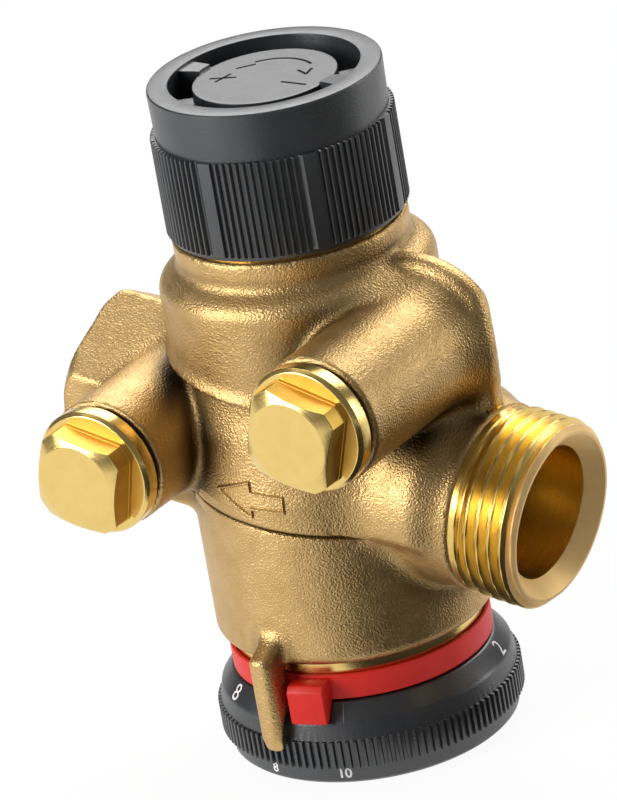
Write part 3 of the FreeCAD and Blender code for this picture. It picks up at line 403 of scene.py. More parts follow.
# %% Shapes round an axis
def round_axis(turn, radius, along, centre, axis, first, second):
    """Points centre + radius (cos turn first + sin turn second) + along axis, for arrays that broadcast."""
    turn, radius, along = np.broadcast_arrays(turn, radius, along)
    return (np.asarray(centre) + (radius * np.cos(turn))[..., None] * np.asarray(first)
            + (radius * np.sin(turn))[..., None] * np.asarray(second) + along[..., None] * np.asarray(axis))


def full_turn(count):
    """Turns of a whole circle in even steps."""
    return np.linspace(0, 2 * np.pi, count, endpoint=False)


def turned_mesh(name, profile, count, frame_of):
    """Closed profile of (radius, along) carried round an axis in count steps."""
    points = round_axis(full_turn(count)[:, None], profile[:, 0], profile[:, 1], *frame_of)
    return grid_mesh(name, points, along=True)


def profile_mesh(name, turn, corners, reach, frame_of, closed=False):
    """Eased corners of (radius, along), which may vary with the turn, carried round an axis."""
    rows = np.stack([np.stack(np.broadcast_arrays(r, s, turn)[:2], -1) for r, s in corners], 1)
    rows = eased(rows, reach, closed)
    return grid_mesh(name, round_axis(turn[:, None], rows[..., 0], rows[..., 1], *frame_of), along=closed)


def bar_mesh(name, rings):
    """Rings of points one after the other, closed by the middle of the first and of the last."""
    ends = [np.broadcast_to(ring.mean(0), (1, *ring.shape)) for ring in (rings[0], rings[-1])]
    return grid_mesh(name, np.concatenate([ends[0], rings, ends[1]]), around=False, along=True)


LEAN = np.radians(10.0)
PIPE_HEIGHT = 41.6
MAIN_AXIS = ((0, 0, 0), (0, 0, 1), (1, 0, 0), (0, 1, 0))
PIPE_AXIS = ((0, 0, PIPE_HEIGHT), (np.cos(LEAN), 0, -np.sin(LEAN)), (0, 1, 0), (np.sin(LEAN), 0, np.cos(LEAN)))


def along_pipe(p):
    """Way along the pipe's axis, height across it and distance from it, of points p in millimetres."""
    x, y, z = p[..., 0], p[..., 1], p[..., 2] - PIPE_HEIGHT
    across = x * np.sin(LEAN) + z * np.cos(LEAN)
    return x * np.cos(LEAN) - z * np.sin(LEAN), across, np.hypot(y, across)


print("pipe leans", np.degrees(LEAN).round(1), "degrees")


# %% Pieces
def show(mesh, finish, body, stands_for, slot, crease=32, held=None):
    """Puts a mesh into the scene as a piece, sharp at edges steeper than crease degrees. A piece held at both ends by
    a second body gives held = (that body, height where it leaves the first, height where it joins the second); it is
    then left in place, attached to no body, and the values in held are not used."""
    piece = bpy.data.objects.new(mesh.name, mesh)
    scene.collection.objects.link(piece)
    mesh.materials.append(finish)
    mesh.shade_smooth()
    if crease:
        mesh.set_sharp_from_angle(angle=np.radians(crease))
    if held:
        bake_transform(piece)
    else:
        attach(piece, body)
    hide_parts(stands_for)
    print(mesh.name, len(mesh.polygons), "faces")


def read_places(items, key):
    """Rows of the three values of key, one for each vertex or face."""
    values = np.empty(3 * len(items), np.float32)
    items.foreach_get(key, values)
    return values.reshape(-1, 3)


def paint_faces(mesh, choice, *finishes):
    """Adds finishes to a mesh; choice numbers each face's finish, 0 for the first."""
    for finish in finishes:
        mesh.materials.append(finish)
    mesh.polygons.foreach_set("material_index", choice.astype(np.int32))


def set_crevice(mesh, depth):
    """Stores how deep in a fold each vertex lies, which darkens the cast finish as painted shade."""
    mesh.attributes.new("crevice_shade", "FLOAT", "POINT").data.foreach_set("value", depth.astype(np.float32))


# %% [markdown]
# ## The casting
# A casting has no sharp inner corners: every boss grows out of its neighbour in a fillet. Such a skin is hard to
# build from grids, and booleans leave hard seams, so it is written as one field of distances: each form gives its
# distance to a point, a soft minimum joins forms with a fillet, and a maximum cuts hollows. The surface is where
# the field is zero. It is found on a lattice, one point in each cell that it crosses, and each point then slides
# along the field's slope until it lies on the surface.

# %% Field helpers
def joined(a, b, soft):
    """Soft minimum of two distances: a fillet as wide as soft where they are nearly equal."""
    blend = np.clip(0.5 + 0.5 * (b - a) / soft, 0, 1)
    return b + (a - b) * blend - soft * blend * (1 - blend)


def both(a, b, edge):
    """Distance to what two forms share, its outer edge rounded with that radius."""
    a, b = a + edge, b + edge
    return np.minimum(np.maximum(a, b), 0) + np.hypot(np.maximum(a, 0), np.maximum(b, 0)) - edge


def outline_distance(u, v, corners):
    """Signed distance in a plane to a closed outline: the nearest side, negative inside by the crossing rule."""
    corners = np.asarray(corners, float)
    nearest = np.full(u.shape, np.inf)
    inside = np.zeros(u.shape, bool)
    for (au, av), (bu, bv) in zip(corners, np.roll(corners, -1, 0)):
        du, dv = bu - au, bv - av
        t = np.clip(((u - au) * du + (v - av) * dv) / (du * du + dv * dv), 0, 1)
        nearest = np.minimum(nearest, np.hypot(u - au - t * du, v - av - t * dv))
        if dv:
            inside ^= ((av > v) != (bv > v)) & (u < au + (v - av) * du / dv)
    return np.where(inside, -nearest, nearest)


# %% Sizes of the casting
CASTING = ("casing", "valve_body", "cast_brass")
BARREL_RADIUS, BARREL_FOOT = 19.45, 17.35
UPPER_RADIUS, SHOULDER, NECK_TOP = 19.0, 71.2, 75.6
LEDGE, SKIRT = -2.65, 14.6  # heights across the pipe's axis
WAIST = ((PIPE_HEIGHT, 50.5, 57.0), (19.8, 18.6, 17.2))  # heights and radii
PIPE_RADIUS, PIPE_HALF, CHANNEL_RADIUS = 14.6, 24.0, 6.5
HEXAGON_HALF, SOCKET_END, SOCKET_FLOOR = 13.0, -35.3, -20.3
LEFT_TEST, RIGHT_TEST = (-18.1, -25.6, 48.75), (19.5, -27.0, 59.75)
BOSS_RADIUS, TEST_BORE = 9.1, 6.58
WEB_END, WEB_HALF, TOOL_RADIUS = 29.8, 1.5, 13.92
FIN_TURN, FIN_HALF = np.radians(-92.6), 1.7
FIN_OUTLINE = [(17.6, 19.3), (17.6, 22.1), (19.0, 22.1), (23.4, 19.6), (23.4, 7.8), (22.73, 5.8), (21.7, 5.8),
               (21.7, 7.35), (20.75, 9.75), (18.65, 12.15), (18.65, 19.05)]
ROOM_RADIUS, ROOM_TOP = 18.4, 17.33
CHAMBER_TOPS, CHAMBER_RADII = (19.0, 34.5, 44.0, 58.0), np.array([14.0, 12.8, 7.0, 10.0, 12.0])
print("fin outline of", len(FIN_OUTLINE), "corners,", len(CHAMBER_RADII), "chambers")


# %% Field of barrel and pipe
def trunk_field(r, z, zp):
    """Lower barrel up to the leaning ledge with a groove under it, waist that draws in, upper barrel with a flared
    skirt and a shoulder, and neck."""
    lower = both(both(r - BARREL_RADIUS, BARREL_FOOT - z, edge=1.7), zp - LEDGE, edge=0.15)
    groove = np.maximum(18.6 - r, np.abs(zp - LEDGE + 0.7) - 0.75)
    waist = both((r - np.interp(z, *WAIST)) * 0.995, np.maximum(LEDGE - zp, z - 60.0), edge=0.2)
    flare = np.clip(1 - (zp - SKIRT) / 2.4, 0, 1) ** 2
    upper = both(both((r - UPPER_RADIUS - flare) * 0.85, z - SHOULDER, edge=3.0), SKIRT - zp, edge=0.7)
    neck = np.maximum(np.maximum(r - np.interp(z, [SHOULDER, 73.2], [15.7, 16.1]), z - NECK_TOP), 66.0 - z)
    barrel = joined(joined(np.maximum(lower, -groove), waist, soft=0.15), upper, soft=0.6)
    return joined(barrel, neck, soft=2.0)


def pipe_field(y, xp, zp, rp):
    """Pipe above the ledge with its neck toward the thread, and the hexagon of the socket end with a bevelled rim."""
    pipe = both(both(rp - PIPE_RADIUS, np.abs(xp) - PIPE_HALF, edge=3.5), LEDGE - zp, edge=1.0)
    neck = both(np.maximum(rp - 13.1, -xp), xp - 27.0, edge=0.5)
    slanted = np.maximum(np.abs(0.5 * y + 0.866 * zp), np.abs(0.5 * y - 0.866 * zp))
    flats = both(slanted - HEXAGON_HALF, np.abs(y) - HEXAGON_HALF, edge=0.45)
    rim = np.maximum((rp - 13.4 - 1.073 * (xp - SOCKET_END)) * 0.682, SOCKET_END - xp)
    return joined(pipe, neck, soft=3.0), np.maximum(both(flats, rim, edge=0.55), xp)


# %% Field of bosses, web and fin
def boss_reach(x, z):
    """Distances from the axes of the left and of the right test boss."""
    return [np.hypot(x - centre[0], z - centre[2]) for centre in (LEFT_TEST, RIGHT_TEST)]


def with_bosses(skin, x, y, z, xp, rp):
    """A skin with the two test bosses, the web under the right one and the pointer fin joined to it."""
    left, right = boss_reach(x, z)
    skin = joined(skin, both(np.maximum(left - BOSS_RADIUS, y), LEFT_TEST[1] - y, edge=0.2), soft=2.0)
    flare = 1.8 * np.clip((y + 7.5) / 6.0, 0, 1) ** 2
    boss = both(np.maximum((right - BOSS_RADIUS - flare) * 0.85, y), RIGHT_TEST[1] - y, edge=0.2)
    foot = np.maximum(np.maximum(x - WEB_END, -x), np.maximum(z - RIGHT_TEST[2], 34.3 - z))
    web = both(both(np.minimum(right - 12.2, foot), x - WEB_END, edge=1.0), np.abs(y) - WEB_HALF, edge=1.2)
    web = np.maximum(web, -np.maximum(rp - TOOL_RADIUS, 26.0 - xp))
    skin = joined(joined(skin, boss, soft=2.2), web, soft=1.2)
    across = -x * np.sin(FIN_TURN) + y * np.cos(FIN_TURN)
    out = x * np.cos(FIN_TURN) + y * np.sin(FIN_TURN)
    fin = both(outline_distance(out, z, FIN_OUTLINE), np.abs(across) - FIN_HALF, edge=1.25)
    return joined(skin, fin, soft=1.4)


# %% Field of the casting
def hollow_field(x, y, z, r, xp, rp):
    """Chambers on the main axis, the two channels of the pipe and the two test bores."""
    chamber = r - CHAMBER_RADII[np.searchsorted(CHAMBER_TOPS, z, side="right")]
    inlet = np.maximum(rp - np.where(xp > PIPE_HALF, 9.9, CHANNEL_RADIUS), 12.0 - xp)
    outlet = np.maximum(rp - np.where(xp < SOCKET_FLOOR, 10.9, CHANNEL_RADIUS), xp + 15.6)
    left, right = boss_reach(x, z)
    tests = np.minimum(np.maximum(left - TEST_BORE, y + 13.6), np.maximum(right - TEST_BORE, y + 15.0))
    return np.minimum(np.minimum(chamber, tests), np.minimum(inlet, outlet))


def casting_field(p):
    """Signed distance to the casting at points p in millimetres: outside forms joined with cast fillets, room for
    the ring's slide, then the hollows taken away."""
    x, y, z = p[..., 0], p[..., 1], p[..., 2]
    r = np.hypot(x, y)
    xp, zp, rp = along_pipe(p)
    pipe, hexagon = pipe_field(y, xp, zp, rp)
    skin = joined(joined(trunk_field(r, z, zp), pipe, soft=2.4), hexagon, soft=1.2)
    skin = with_bosses(skin, x, y, z, xp, rp)
    skin = np.maximum(skin, -np.maximum(r - ROOM_RADIUS, z - ROOM_TOP))
    return np.maximum(skin, -hollow_field(x, y, z, r, xp, rp))


# %% Lattice surface
def field_surface(field, low, high, step):
    """Points and quads of the surface field = 0 inside a box. Each lattice cell with both signs at its corners gets
    the mean of the crossings on its edges; each crossed lattice edge gets the quad of the four cells round it."""
    count = np.ceil((high - low) / step).astype(int) + 1
    ticks = [low[k] + step * np.arange(count[k]) for k in range(3)]
    value = np.concatenate([field(np.stack(np.meshgrid(part, *ticks[1:], indexing="ij"), -1))
                            for part in np.array_split(ticks[0], 12)])
    total = np.zeros((*(count - 1), 3))
    hits = np.zeros(count - 1)
    for axis in range(3):
        side = np.moveaxis(value, axis, 0)
        a, b = side[:-1], side[1:]
        crossed = (a < 0) != (b < 0)
        share = np.where(crossed, a / np.where(a == b, 1, a - b), 0)
        u, v = (k for k in range(3) if k != axis)
        for du, dv in np.ndindex(2, 2):
            cut = np.s_[:, du:du + count[u] - 1, dv:dv + count[v] - 1]
            here = np.moveaxis(crossed[cut], 0, axis)
            hits += here
            total[..., axis] += np.moveaxis(share[cut], 0, axis)
            total[..., u] += here * du
            total[..., v] += here * dv
    used = hits > 0
    cell = np.argwhere(used)
    points = low + step * (cell + total[used] / hits[used][:, None])
    label = np.full(used.shape, -1)
    label[used] = np.arange(len(points))
    quads = []
    for axis in range(3):
        order = (axis, (axis + 1) % 3, (axis + 2) % 3)
        name = label.transpose(order)
        inside = value.transpose(order)[:, 1:-1, 1:-1] < 0
        i, j, k = np.nonzero(inside[:-1] != inside[1:])
        quad = np.stack([name[i, j, k], name[i, j + 1, k], name[i, j + 1, k + 1], name[i, j, k + 1]], 1)
        quads.append(np.where(inside[i, j, k][:, None], quad, quad[:, ::-1]))
    return points, np.concatenate(quads)


# %% Points on the surface
def field_slope(field, points, probe=0.02):
    """Gradient of a field by differences over twice the probe."""
    rise = [field(points + probe * unit) - field(points - probe * unit) for unit in np.eye(3)]
    return np.stack(rise, -1) / (2 * probe)


def slide_onto(field, points, rounds=3):
    """Moves points by -f grad f / |grad f|^2, at most 0.3 mm a round, so that they lie on field = 0."""
    for _ in range(rounds):
        slope = field_slope(field, points)
        step = field(points)[:, None] * slope / np.maximum((slope ** 2).sum(1, keepdims=True), 0.05)
        size = np.linalg.norm(step, axis=1, keepdims=True)
        points = points - step * np.minimum(1, 0.3 / np.maximum(size, 1e-9))
    return points


def crevice_depth(field, points):
    """0 on open skin and toward 1 in a fold: at a distance d off open skin the field is d, in a fold it is less.
    The cast finish uses it as painted shade.
    """
    slope = field_slope(field, points, 0.1)
    outward = slope / np.maximum(np.linalg.norm(slope, axis=1, keepdims=True), 1e-6)
    return np.mean([np.clip(1 - field(points + d * outward) / d, 0, 1) for d in (1.0, 3.0, 6.0)], axis=0)


# %% Skin of the casting
BOX_LOW, BOX_HIGH, CELL = np.array([-37.2, -28.2, 5.0]), np.array([31.5, 21.0, 77.0]), 0.55
skin_points, skin_quads = field_surface(casting_field, BOX_LOW, BOX_HIGH, CELL)
skin_points = slide_onto(casting_field, skin_points)
casting_mesh = bpy.data.meshes.new("casting")
casting_mesh.from_pydata((skin_points * MM).tolist(), [], skin_quads.tolist())
# Painted shade: each point's fold depth darkens the cast finish in creases and fillets.
set_crevice(casting_mesh, crevice_depth(casting_field, skin_points))
show(casting_mesh, cast_finish, *CASTING, crease=0)

# %% Web where the thread tool cut it
middle = skin_points[skin_quads].mean(1)
mid_xp, _, mid_rp = along_pipe(middle)
tool_cut = (np.abs(mid_rp - TOOL_RADIUS) < 0.2) & (mid_xp > 25.7) & (np.abs(middle[:, 1]) < 1.6)
paint_faces(casting_mesh, tool_cut, cut_finish)
print("faces cut bright by the thread tool:", int(tool_cut.sum()))

# %% [markdown]
# ## Machined ends of the casting
# After casting, the foot, the threaded inlet and the socket were cut on a lathe, so they are bright and their
# edges are crisp. A field would soften them; each is a profile carried round its axis instead. The threads are
# real helices: the radius falls and rises with the way along the axis minus the turn.

# %% Machined foot
foot_profile = eased([(14.0, 8.5), (15.6, 8.5), (15.6, 12.3), (16.6, 12.3), (16.6, 15.4), (17.6, 15.4), (17.6, 18.2),
                      (14.0, 18.2)], 0.15, closed=True)
show(turned_mesh("machined_foot", foot_profile, 180, MAIN_AXIS), turned_finish, *CASTING)

# %% Thread helpers
PITCH, THREAD_DEPTH = 1.814, 1.16


def thread_valley(turn, along):
    """0 at the crest and 1 at the root of a right-hand thread: a triangle wave of along / pitch - turn, with its
    tips rounded off."""
    phase = (along / PITCH - turn / (2 * np.pi)) % 1.0
    return np.clip((1 - np.abs(2 * phase - 1) - 0.12) / 0.76, 0, 1)


def thread_mesh(name, turn, before, along, cut, after):
    """Profile carried round the pipe: plain points, a cut stretch whose radius varies, plain points."""
    plain = [np.broadcast_to(np.asarray(part, float), (len(turn), len(part), 2)) for part in (before, after)]
    rows = np.concatenate([plain[0], np.stack(np.broadcast_arrays(cut, along), -1), plain[1]], 1)
    return grid_mesh(name, round_axis(turn, rows[..., 0], rows[..., 1], *PIPE_AXIS), along=True)


print("thread of pitch", PITCH, "mm, cut", THREAD_DEPTH, "mm deep")

# %% Inlet thread
CREST, THREAD_START, THREAD_END, BEVEL_START = 13.22, 28.0, 36.95, 35.7
turn = full_turn(240)[:, None]
along = np.linspace(THREAD_START, THREAD_END, 84)
cut = CREST - THREAD_DEPTH * thread_valley(turn, along)
cut = np.where(along < 28.7, np.maximum(cut, 12.7), cut)
cut = np.minimum(cut, np.minimum(CREST, CREST - (along - BEVEL_START)))
mouth_profile = eased([(11.9, 37.0), (11.48, 37.0), (9.28, 34.8), (9.28, 24.1), (6.4, 24.1), (6.4, 23.0),
                       (10.6, 23.0)], 0.08)
inlet = thread_mesh("inlet_thread", turn, [(10.6, 25.8), (12.75, 25.8), (12.75, 27.95)], along, cut, mouth_profile)
show(inlet, cut_finish, *CASTING, crease=24)
mid_xp, _, mid_rp = along_pipe(read_places(inlet.polygons, "center") / MM)
mouth = (mid_xp > 35.9) | ((mid_xp > 34.85) & (mid_rp < 11.6))
bore = (mid_rp < 9.6) & ~mouth
paint_faces(inlet, mouth + 2 * bore, face_finish, bore_finish)
print("faces of the dull mouth:", int(mouth.sum()))

# %% Outlet socket
SOCKET_MINOR, SOCKET_START, SOCKET_STOP = 9.32, -34.1, -20.6
along = np.linspace(SOCKET_START, SOCKET_STOP, 110)
cut = SOCKET_MINOR + THREAD_DEPTH * thread_valley(turn, along) * np.clip((SOCKET_STOP - along) / 2.0, 0, 1)
floor_profile = [(SOCKET_MINOR, SOCKET_FLOOR), (6.4, SOCKET_FLOOR), (6.4, -19.3), (11.2, -19.3)]
socket = thread_mesh("outlet_socket", turn, [(11.2, -35.31), (10.52, -35.31)], along, cut, floor_profile)
show(socket, cut_finish, *CASTING, crease=24)

# %% [markdown]
# ## Ledge
# The lip of the leaning ledge needs finer points than the lattice has. It is a short profile with a fold, carried
# round the barrel. Its height follows the plane of the ledge, and it dips under the skin where the pipe covers it.
# A soft band of painted shade darkens the cast finish along the fold.

# %% Ledge lip
turn = full_turn(480)[:, None]
ledge_height = PIPE_HEIGHT + (LEDGE - WAIST[1][0] * np.cos(turn) * np.sin(LEAN)) / np.cos(LEAN)
above = np.array([[1.6, 1.58, 1.0, 0.4, 0.14, 0.03, 0.0]])
proud = np.array([[-0.15, 0.02, 0.03, 0.06, 0.04, -0.01, -0.1]])
proud = proud - 0.4 * np.clip((0.86 - np.abs(np.sin(turn))) / 0.1, 0, 1)
fold = np.array([[-0.02, 19.15], [-0.12, 18.9], [-0.45, 18.9], [-0.62, 19.25], [-0.8, 19.44], [-1.0, 19.475],
                 [-2.3, 19.475], [-2.32, 19.4], [-2.32, 18.2], [1.6, 18.2]])
lip_radius = np.interp(ledge_height + above, *WAIST) + proud
radius = np.concatenate([lip_radius, np.broadcast_to(fold[:, 1], (len(turn), len(fold)))], 1)
height = ledge_height + np.concatenate([above[0], fold[:, 0]])
lip = grid_mesh("ledge_lip", round_axis(turn, radius, height, *MAIN_AXIS), along=True)
off_ledge = (along_pipe(read_places(lip.vertices, "co") / MM)[1] - LEDGE) / np.cos(LEAN)
# Painted shade: the cast finish darkens in a band from 0.45 mm above the ledge's plane to 1.05 mm below it, most at
# 0.3 mm below.
set_crevice(lip, 0.85 * np.clip(1 - np.abs(off_ledge + 0.3) / 0.75, 0, 1))
show(lip, cast_finish, *CASTING, crease=50)

# %% [markdown]
# ## Flow arrow
# The arrow is cast on the waist as a bead a third of a millimetre high. A bevelled curve would float over the round
# skin or cut into it. Instead, the casting's radius is found under each point of a fine patch of turn and height, and
# the patch rises along the arrow's outline and dips under the skin elsewhere, so that only the bead shows.

# %% Flow arrow
ARROW_TURN, ARROW_RADIUS = np.radians(-90.0), 19.7
BEAD_WIDTH, BEAD_RISE, BEAD_DIP = 0.28, 0.46, 0.12
turn, height = np.meshgrid(np.radians(np.linspace(-109.0, -72.0, 220)), np.linspace(39.0, 46.4, 130), indexing="ij")
skin_radius = np.full(turn.shape, 21.5)
for _ in range(14):
    skin_radius = skin_radius - casting_field(round_axis(turn, skin_radius, height, *MAIN_AXIS))
arrow_outline = [(-105.8, 43.5), (-89.2, 45.1), (-89.0, 43.65), (-75.0, 43.1), (-75.0, 41.0), (-89.0, 41.4),
                 (-89.2, 40.15)]
arrow_outline = [((np.radians(a) - ARROW_TURN) * ARROW_RADIUS, z) for a, z in arrow_outline]
reach = outline_distance((turn - ARROW_TURN) * ARROW_RADIUS, height, arrow_outline)
rise = BEAD_RISE * np.clip(1.25 - np.abs(reach) / BEAD_WIDTH, 0, 1) - BEAD_DIP
arrow = round_axis(turn, skin_radius + rise, height, *MAIN_AXIS)
under = round_axis(turn, skin_radius - 0.8, height, *MAIN_AXIS)[:, ::-1]
arrow_mesh = grid_mesh("flow_arrow", np.concatenate([arrow, under], 1), around=False, along=True)
show(arrow_mesh, cast_finish, *CASTING, crease=40)

# %% [markdown]
# ## Test plugs and their seals
# A plug is a turned disc with a square head for a spanner. Its outline is a function of the turn: the head's
# radius is the square's, cut off at the corners, and where the chamfer cone meets a flat the height follows from
# that radius. So the curved edge between cone and flat lies exactly on a grid line. A low step at the foot of
# each flat is left by the milling cutter.

# %% Test plugs
def plug_mesh(name, square_turn, frame_of):
    """Profile of a plug for each turn: face, cone, flat, step, collar and shank."""
    flat_half, corner, face, top, cone_slope = 6.2, 7.65, 5.75, 7.5, 0.45
    meeting = np.arccos(flat_half / corner)
    quarter = square_turn + np.pi / 2 * np.arange(4)[:, None] + np.array([-meeting, meeting])
    turn = np.unique(np.round(np.r_[full_turn(200), (quarter % (2 * np.pi)).ravel()], 6))
    off = (turn - square_turn + np.pi / 4) % (np.pi / 2) - np.pi / 4
    flat = np.minimum(flat_half / np.cos(off), corner)
    step = np.minimum(flat + 0.16, corner + 0.1)
    corners = [(0, top), (face, top), (flat, top - (flat - face) * cone_slope), (flat, 3.95), (step, 3.95),
               (step, 3.4), (8.4, 3.4), (8.9, 2.9), (8.9, 1.0), (TEST_BORE, 1.0), (TEST_BORE, -10.0), (0, -10.0)]
    reach = [0, 0.06, 0.06, 0.04, 0.04, 0.05, 0.12, 0.12, 0.08, 0.02, 0.2, 0]
    return profile_mesh(name, turn, corners, reach, frame_of)


swing = full_turn(20)
seal_section = np.stack([7.62 + 0.9 * np.cos(swing), 0.5 + 0.5 * np.sin(swing)], 1)  # a circle pressed flat
for side, square_turn, centre in (("left", -14.0, LEFT_TEST), ("right", -17.0, RIGHT_TEST)):
    boss_axis = (centre, (0, -1, 0), (1, 0, 0), (0, 0, 1))
    plug = plug_mesh(side + "_test_plug", np.radians(square_turn), boss_axis)
    show(plug, turned_finish, "casing", side + "_plug", "turned_brass", crease=24)
    off = read_places(plug.polygons, "center") / MM - centre
    # Painted shade, in part: the faces between the step and the lower flats take the darker brass of the corner.
    milled_shaded_faces = (off[:, 1] < -3.3) & (off[:, 1] > -6.6) & (np.hypot(off[:, 0], off[:, 2]) < 7.9)
    paint_faces(plug, milled_shaded_faces, milled_shaded_finish)
    seal = turned_mesh(side + "_seal_ring", seal_section, 120, boss_axis)
    show(seal, rubber_finish, "casing", side + "_plug_seal", "seal_rubber")

# %% [markdown]
# ## Cap
# The cap is one moulding: seven plain pads with ribs between them round the skirt, a smooth crown, and a ring
# slot in the top that two pairs of bridges cross. All of it is a function of the turn and of the way along the
# profile, with the turns chosen so that the flanks of the ribs and the sides of the bridges fall on grid lines.

# %% Ribs and bridges of the cap
SECTOR = 2 * np.pi / 7
RIB_STEP = SECTOR / 15
CAP_START = np.radians(-90.0) - RIB_STEP
BRIDGES = ((0.0, 96.6), (180.0, 96.6), (38.0, 94.4), (-142.0, 94.4))  # turn and height of the top
BRIDGE_HALF, SLOT_FLOOR = np.arcsin(1.5 / 11.4), 91.0
rib_at = 2.0 + np.arange(13)[:, None] + np.array([0.10, 0.42, 0.54, 0.64, 0.76, 0.88, 0.98])
rib_low = np.broadcast_to([1.0, 1.0, 0.25, 0.04, 0.0, 0.04, 0.25], rib_at.shape)
flank = np.r_[0.05, 0.7, 1.3, 1.95, rib_at.ravel()[:-5], 15.05]
low = np.r_[0, 0, 0, 0, rib_low.ravel()[:-5], 0]
turn = (CAP_START + SECTOR * np.arange(7)[:, None] + RIB_STEP * flank[None, :-1]).ravel()
sides = np.radians([b[0] for b in BRIDGES])[:, None] + BRIDGE_HALF * np.array([-1.002, -0.998, 0.998, 1.002])
turn = np.unique(np.round(np.r_[turn, sides.ravel()] % (2 * np.pi), 6))
groove = np.interp(((turn - CAP_START) / RIB_STEP - 0.05) % 15 + 0.05, flank, low)
floor_at = np.full(turn.shape, SLOT_FLOOR)
for middle, top in BRIDGES:
    off = (turn - np.radians(middle) + np.pi) % (2 * np.pi) - np.pi
    floor_at = np.where(np.abs(off) < BRIDGE_HALF, top, floor_at)
print("the cap has", len(turn), "turns, and", rib_at.shape[0], "grooves between two pads")

# %% Cap
PAD_RADIUS, GROOVE_DEPTH = 16.6, 0.5
rib = PAD_RADIUS - GROOVE_DEPTH * groove
corners = [(0, 88.0), (4, 88.0), (4, 88.5), (15.08, 88.5), (15.08, 76.1), (16.15, 76.1), (16.2, 76.7), (rib, 76.8),
           (rib, 90.3), (15.85, 90.3), (16.0, 97.0), (13.02, 97.0), (13.02, floor_at), (9.87, floor_at),
           (9.87, 96.15), (9.4, 96.15), (0, 96.15)]
reach = [0, 0.2, 0.2, 0.3, 0.2, 0.3, 0.05, 0.1, 0.25, 0.08, 0.5, 0.2, 0.15, 0.15, 0.2, 0.01, 0]
show(profile_mesh("ribbed_cap", turn, corners, reach, MAIN_AXIS), dark_finish, "cap", "protective_cap",
     "dark_plastic", crease=30)

# %% [markdown]
# ## Marks on the cap
# An arc with an arrow, a plus and a minus show which way to turn. On the real cap they are engraved and look darker
# than the top. Each stroke is a bar that stands 0.02 mm off the top, so the cap's grid needs no cut, and its dull
# dark finish is painted shade in place of the shade in the engraved grooves.

# %% Marks on the cap
MARK_HALF, MARK_LOW, MARK_HIGH = 0.21, 95.9, 96.17


def bar_along(name, path):
    """A bar with a flat top carried along a path in the plane of the cap's top, ends closed."""
    path = np.asarray(path, float)
    way = np.gradient(path, axis=0)
    side = np.stack([-way[:, 1], way[:, 0]], 1) / np.linalg.norm(way, axis=1, keepdims=True) * MARK_HALF
    rings = [np.concatenate([path + sign * side, np.full((len(path), 1), z)], 1)
             for sign, z in ((-1, MARK_LOW), (1, MARK_LOW), (1, MARK_HIGH), (-1, MARK_HIGH))]
    return bar_mesh(name, np.stack(rings, 1))


arc = np.radians(np.linspace(136, 52, 40))
arc_path = np.linspace(6.1, 6.6, 40)[:, None] * np.stack([np.cos(arc), np.sin(arc)], 1)
strokes = {"plus_long": [(-7.4, -2.4), (-3.8, -1.15)], "plus_short": [(-5.85, -3.3), (-5.35, -0.25)],
           "dash": [(-5.73, 1.59), (-3.81, 3.59)], "arc": arc_path, "minus": [(3.58, -1.34), (7.77, -1.57)],
           "arrow_a": [(5.59, 1.72), (5.19, 3.79)], "arrow_b": [(5.59, 1.72), (3.59, 2.78)]}
for name, path in strokes.items():
    show(bar_along("cap_mark_" + name, path), engraving_shade_finish, "cap", "protective_cap", "dark_plastic")

# %% [markdown]
# ## Setting wheel
# The wheel is dished, with a rounded lip, a knurl of 120 ribs, and a cone that carries the dial. Like the cap it
# is a grid of turn and profile, with five turns to each rib of the knurl.

# %% Setting wheel
WHEEL = ("wheel", "hand_wheel", "dark_plastic")
RIBS, KNURL_RADIUS, KNURL_DEPTH = 120, 21.25, 0.5
rib_turns, rib_depths = np.array([0.0, 0.18, 0.36, 0.50, 0.90]), np.array([0.0, 0.0, 0.0, 1.0, 1.0])
turn = ((np.arange(RIBS)[:, None] + rib_turns) * np.radians(360.0 / RIBS)).ravel()
knurl = KNURL_RADIUS - KNURL_DEPTH * np.tile(rib_depths, RIBS)
corners = [(1.7, 2.0), (5.5, 2.0), (5.5, 0.0), (20.3, 0.0), (20.3, 2.75), (knurl, 2.8), (knurl, 6.9), (20.8, 6.95),
           (20.3, 9.3), (18.3, 11.7), (16.1, 11.7), (16.1, 2.6), (6.0, 2.6), (6.0, 8.2), (3.0, 8.2), (3.0, 3.4),
           (1.7, 3.4)]
reach = [0, 0.1, 0.2, 1.5, 0.05, 0.25, 0.3, 0.05, 0.4, 0.3, 0.2, 0.3, 0.3, 0.2, 0.1, 0.05, 0.05]
show(profile_mesh("dial_wheel", turn, corners, reach, MAIN_AXIS, closed=True), dark_finish, *WHEEL, crease=30)

# %% [markdown]
# ## Dial
# The numbers are generic: every second one from 2 to 10 round the cone, and a second row on the lip. Letters are
# made as solid text, turned into a mesh, and bent onto the wheel: the text's width becomes a turn, its height a
# way up the cone or the lip, its depth a way off the surface. One part of the cone carries a thin label.

# %% Dial numbers
CONE = ((20.3, 9.3), (18.3, 11.7))
LIP = ((20.3, 0.9), (20.3, 2.8))


def on_band(band, turn, up, off):
    """Points on a cone or lip: turn, share of the way up the band, and the distance off its surface."""
    (r0, z0), (r1, z1) = band
    slant = np.hypot(r1 - r0, z1 - z0)
    radius = r0 + (r1 - r0) * up + (z1 - z0) / slant * off
    return round_axis(turn, radius, z0 + (z1 - z0) * up - (r1 - r0) / slant * off, *MAIN_AXIS)


